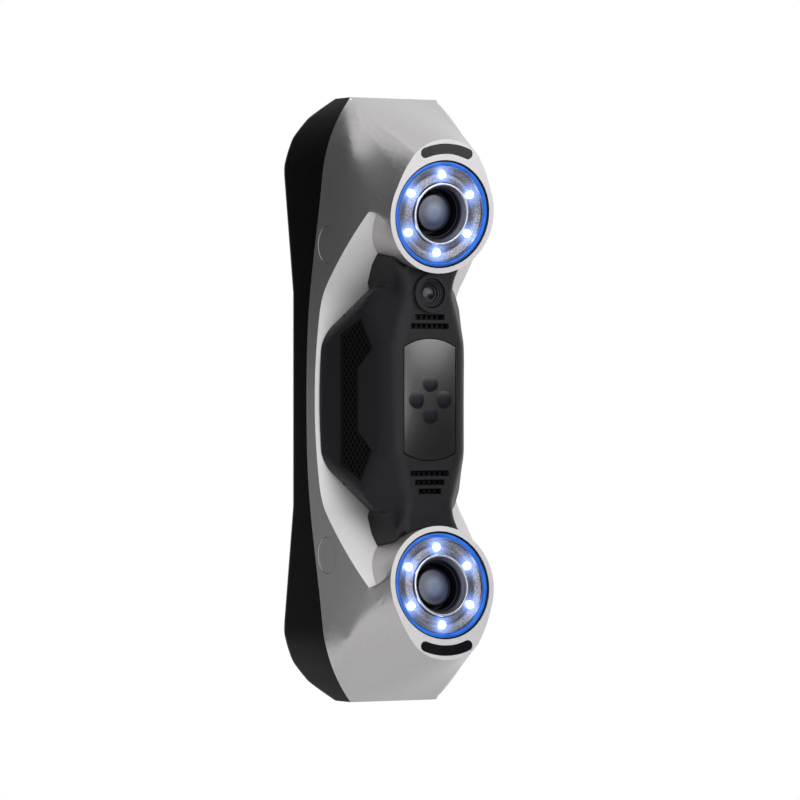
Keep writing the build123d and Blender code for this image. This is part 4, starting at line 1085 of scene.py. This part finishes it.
# %% Turn the projector lenses
aperture_offset = 5.1 * MM
window_depth = 8.3 * MM
window_front = Vector((0, window_depth - setback, half_height))
aperture_spots = [Vector((x, 0, z)) * aperture_offset for x, z in ((1, 0), (-1, 0), (0, 1), (0, -1))]
aperture_matrices = [Matrix.Translation(window_front + spot) @ front_turn for spot in aperture_spots]
lens_sizes = {"radius": 3.0, "top": 0.52, "sag": 0.12, "thickness": 3.5}
lens_piece("aperture_lenses", "projector_lenses", aperture_matrices, dark_glass, **lens_sizes)
print("apertures", len(aperture_matrices))

# %% [markdown]
# ## Window
# The smoked window is moulded with a slight crown, so that it mirrors the room as a soft gradient. A flat
# pane would mirror one tone all over. The pane's front is cut into a net, and each of its points is then
# raised by less and less towards the edge.

# %% Crown the window
window_half_width = 9.8 * MM
window_half_height = 20.2 * MM
window_crown = 0.45 * MM
column_step = 1.0 * MM
row_step = 2.1 * MM
crown_lines = 9
window_angle = 30
bm = merged_copy("projector_window")
geom = bm.verts[:] + bm.edges[:] + bm.faces[:]
for index in range(-crown_lines, crown_lines + 1):
    for spot, normal in (
        (sideways * index * column_step, sideways),
        (upwards * (half_height + index * row_step), upwards),
    ):
        geom = bmesh.ops.bisect_plane(bm, geom=geom, dist=join, plane_co=spot, plane_no=normal)["geom"]
for vert in bm.verts:
    if abs(vert.co.y - window_front.y) < pinned:
        across = min(1.0, abs(vert.co.x) / window_half_width)
        tall = min(1.0, abs(vert.co.z - half_height) / window_half_height)
        vert.co.y -= window_crown * (1 - across ** 2) * (1 - tall ** 2)
window = show("window_crowned", bm, [smoked], window_angle, "projector_window")
print("window faces", len(window.data.polygons))

# %% [markdown]
# ## Dust cloths
# A black cloth lies behind each grille and stops the view through the scanner, as a dust filter does. It
# hangs flat behind a flat facet, so a thin softened block is enough.

# %% Lay the dust cloths
facet_start = Vector((16.75, 13.8, 0)) * MM
facet_end = Vector((24.4, 39.0, 0)) * MM
cloth_along = 9.8 * MM
cloth_inset = 2.6 * MM
cloth_size = Vector((17.6, 0.3, 57.0)) * MM
cloth_round = 0.1 * MM
cloth_steps = 2
run = (facet_end - facet_start).normalized()
outward = run.cross(upwards)
cloth_middle = facet_start + run * cloth_along - outward * cloth_inset + Vector((0, -setback, half_height))
cloth_turn = Matrix((run, -outward, upwards)).transposed().to_4x4()
for name, side in (("right", 1), ("left", -1)):
    bm = bmesh.new()
    bmesh.ops.create_cube(bm, size=1.0)
    bmesh.ops.scale(bm, verts=bm.verts, vec=cloth_size)
    bmesh.ops.transform(bm, verts=bm.verts, matrix=Matrix.Translation(cloth_middle) @ cloth_turn)
    bmesh.ops.scale(bm, verts=bm.verts, vec=(side, 1, 1))
    bmesh.ops.recalc_face_normals(bm, faces=bm.faces)
    soften(bm, cloth_round, bm.edges[:], cloth_steps)
    cloth = show(f"{name}_dust_cloth", bm, [dust_cloth], turned_angle)
    print(cloth.name, len(cloth.data.polygons))

# %% [markdown]
# ## Key marks
# The keys carry plain printed marks: a play sign on the scan key, plus and minus, and two arrows. Print
# could be a picture on the key. Thin bars and three-sided cones stay sharp at any size, and each rides with
# its key.

# %% Print the key marks
mark_height = 0.12 * MM
bar_length = 3.0 * MM
bar_width = 0.6 * MM
play_size = 2.2 * MM
arrow_size = 1.5 * MM
pointing_right, pointing_left = radians(90), radians(-90)


def add_bar(bm, width, tall):
    """Flat bar of a mark."""
    made = bmesh.ops.create_cube(bm, size=1.0)["verts"]
    bmesh.ops.scale(bm, verts=made, vec=(width, mark_height, tall))


def add_arrow(bm, size, turn):
    """Flat triangle of a mark, its point turned to one side."""
    made = bmesh.ops.create_cone(
        bm, cap_ends=True, segments=3, radius1=size, radius2=size, depth=mark_height
    )["verts"]
    bmesh.ops.rotate(bm, verts=made, matrix=Matrix.Rotation(turn, 3, "Z"))
    bmesh.ops.rotate(bm, verts=made, matrix=front_turn.to_3x3())


marks = {
    "scan_key": [(add_arrow, play_size, pointing_right)],
    "plus_key": [(add_bar, bar_length, bar_width), (add_bar, bar_width, bar_length)],
    "minus_key": [(add_bar, bar_length, bar_width)],
    "left_key": [(add_arrow, arrow_size, pointing_left)],
    "right_key": [(add_arrow, arrow_size, pointing_right)],
}
for key, strokes in marks.items():
    low, high = (Vector(corner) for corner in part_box(key))
    bm = bmesh.new()
    for draw, first_size, second_size in strokes:
        draw(bm, first_size, second_size)
    bmesh.ops.translate(bm, verts=bm.verts, vec=((low.x + high.x) / 2, high.y, (low.z + high.z) / 2))
    mark = link_mesh(f"{key}_mark", bm, [mark_white])
    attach(mark, key)
print("marks", len(marks))

# %% [markdown]
# ## Screw caps
# The rear screws have heads with a hexagon socket. Cutting the sockets into the solid heads would take a
# boolean. A thin cap with a hexagon hole over a floor painted black, as painted shade in the socket, gives
# the same look: a circle and a hexagon are bridged to a ring, and the ring gets a thickness.

# %% Cap the rear screws
head_radius = 2.4 * MM
head_sides = 36
socket_radius = 1.35 * MM
socket_sides = 6
cap_lift = 0.35 * MM
cap_thickness = 0.315 * MM
socket_floor_depth = 0.06 * MM
socket_floor_lift = 0.04 * MM
cap_angle = 30
face_back = Matrix.Rotation(radians(-90), 3, "X")
low, high = (Vector(corner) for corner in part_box("rear_screws"))
across = (low.x + head_radius, high.x - head_radius)
tall = (low.z + head_radius, high.z - head_radius)
cap_spots = [(x, z) for x in across for z in tall]
bm = bmesh.new()
for x, z in cap_spots:
    ring = bmesh.ops.create_circle(bm, segments=head_sides, radius=head_radius)["verts"]
    ring += bmesh.ops.create_circle(bm, segments=socket_sides, radius=socket_radius)["verts"]
    bmesh.ops.bridge_loops(bm, edges=list({e for v in ring for e in v.link_edges}))
    bmesh.ops.rotate(bm, verts=ring, matrix=face_back)
    bmesh.ops.translate(bm, verts=ring, vec=(x, high.y + cap_lift, z))
bmesh.ops.recalc_face_normals(bm, faces=bm.faces)
bmesh.ops.solidify(bm, geom=bm.faces[:], thickness=cap_thickness)
bmesh.ops.recalc_face_normals(bm, faces=bm.faces)
# Painted shade: each socket's floor is black plastic, standing for the dark at the bottom of a socket.
for x, z in cap_spots:
    made = bmesh.ops.create_cone(
        bm, cap_ends=True, segments=socket_sides, radius1=socket_radius, radius2=socket_radius,
        depth=socket_floor_depth,
    )["verts"]
    bmesh.ops.rotate(bm, verts=made, matrix=face_back)
    bmesh.ops.translate(bm, verts=made, vec=(x, high.y + socket_floor_lift, z))
    for face in {f for v in made for f in v.link_faces}:
        face.material_index = 1
caps = show("rear_screw_caps", bm, [steel, shell_black], cap_angle)
print("screw cap faces", len(caps.data.polygons))
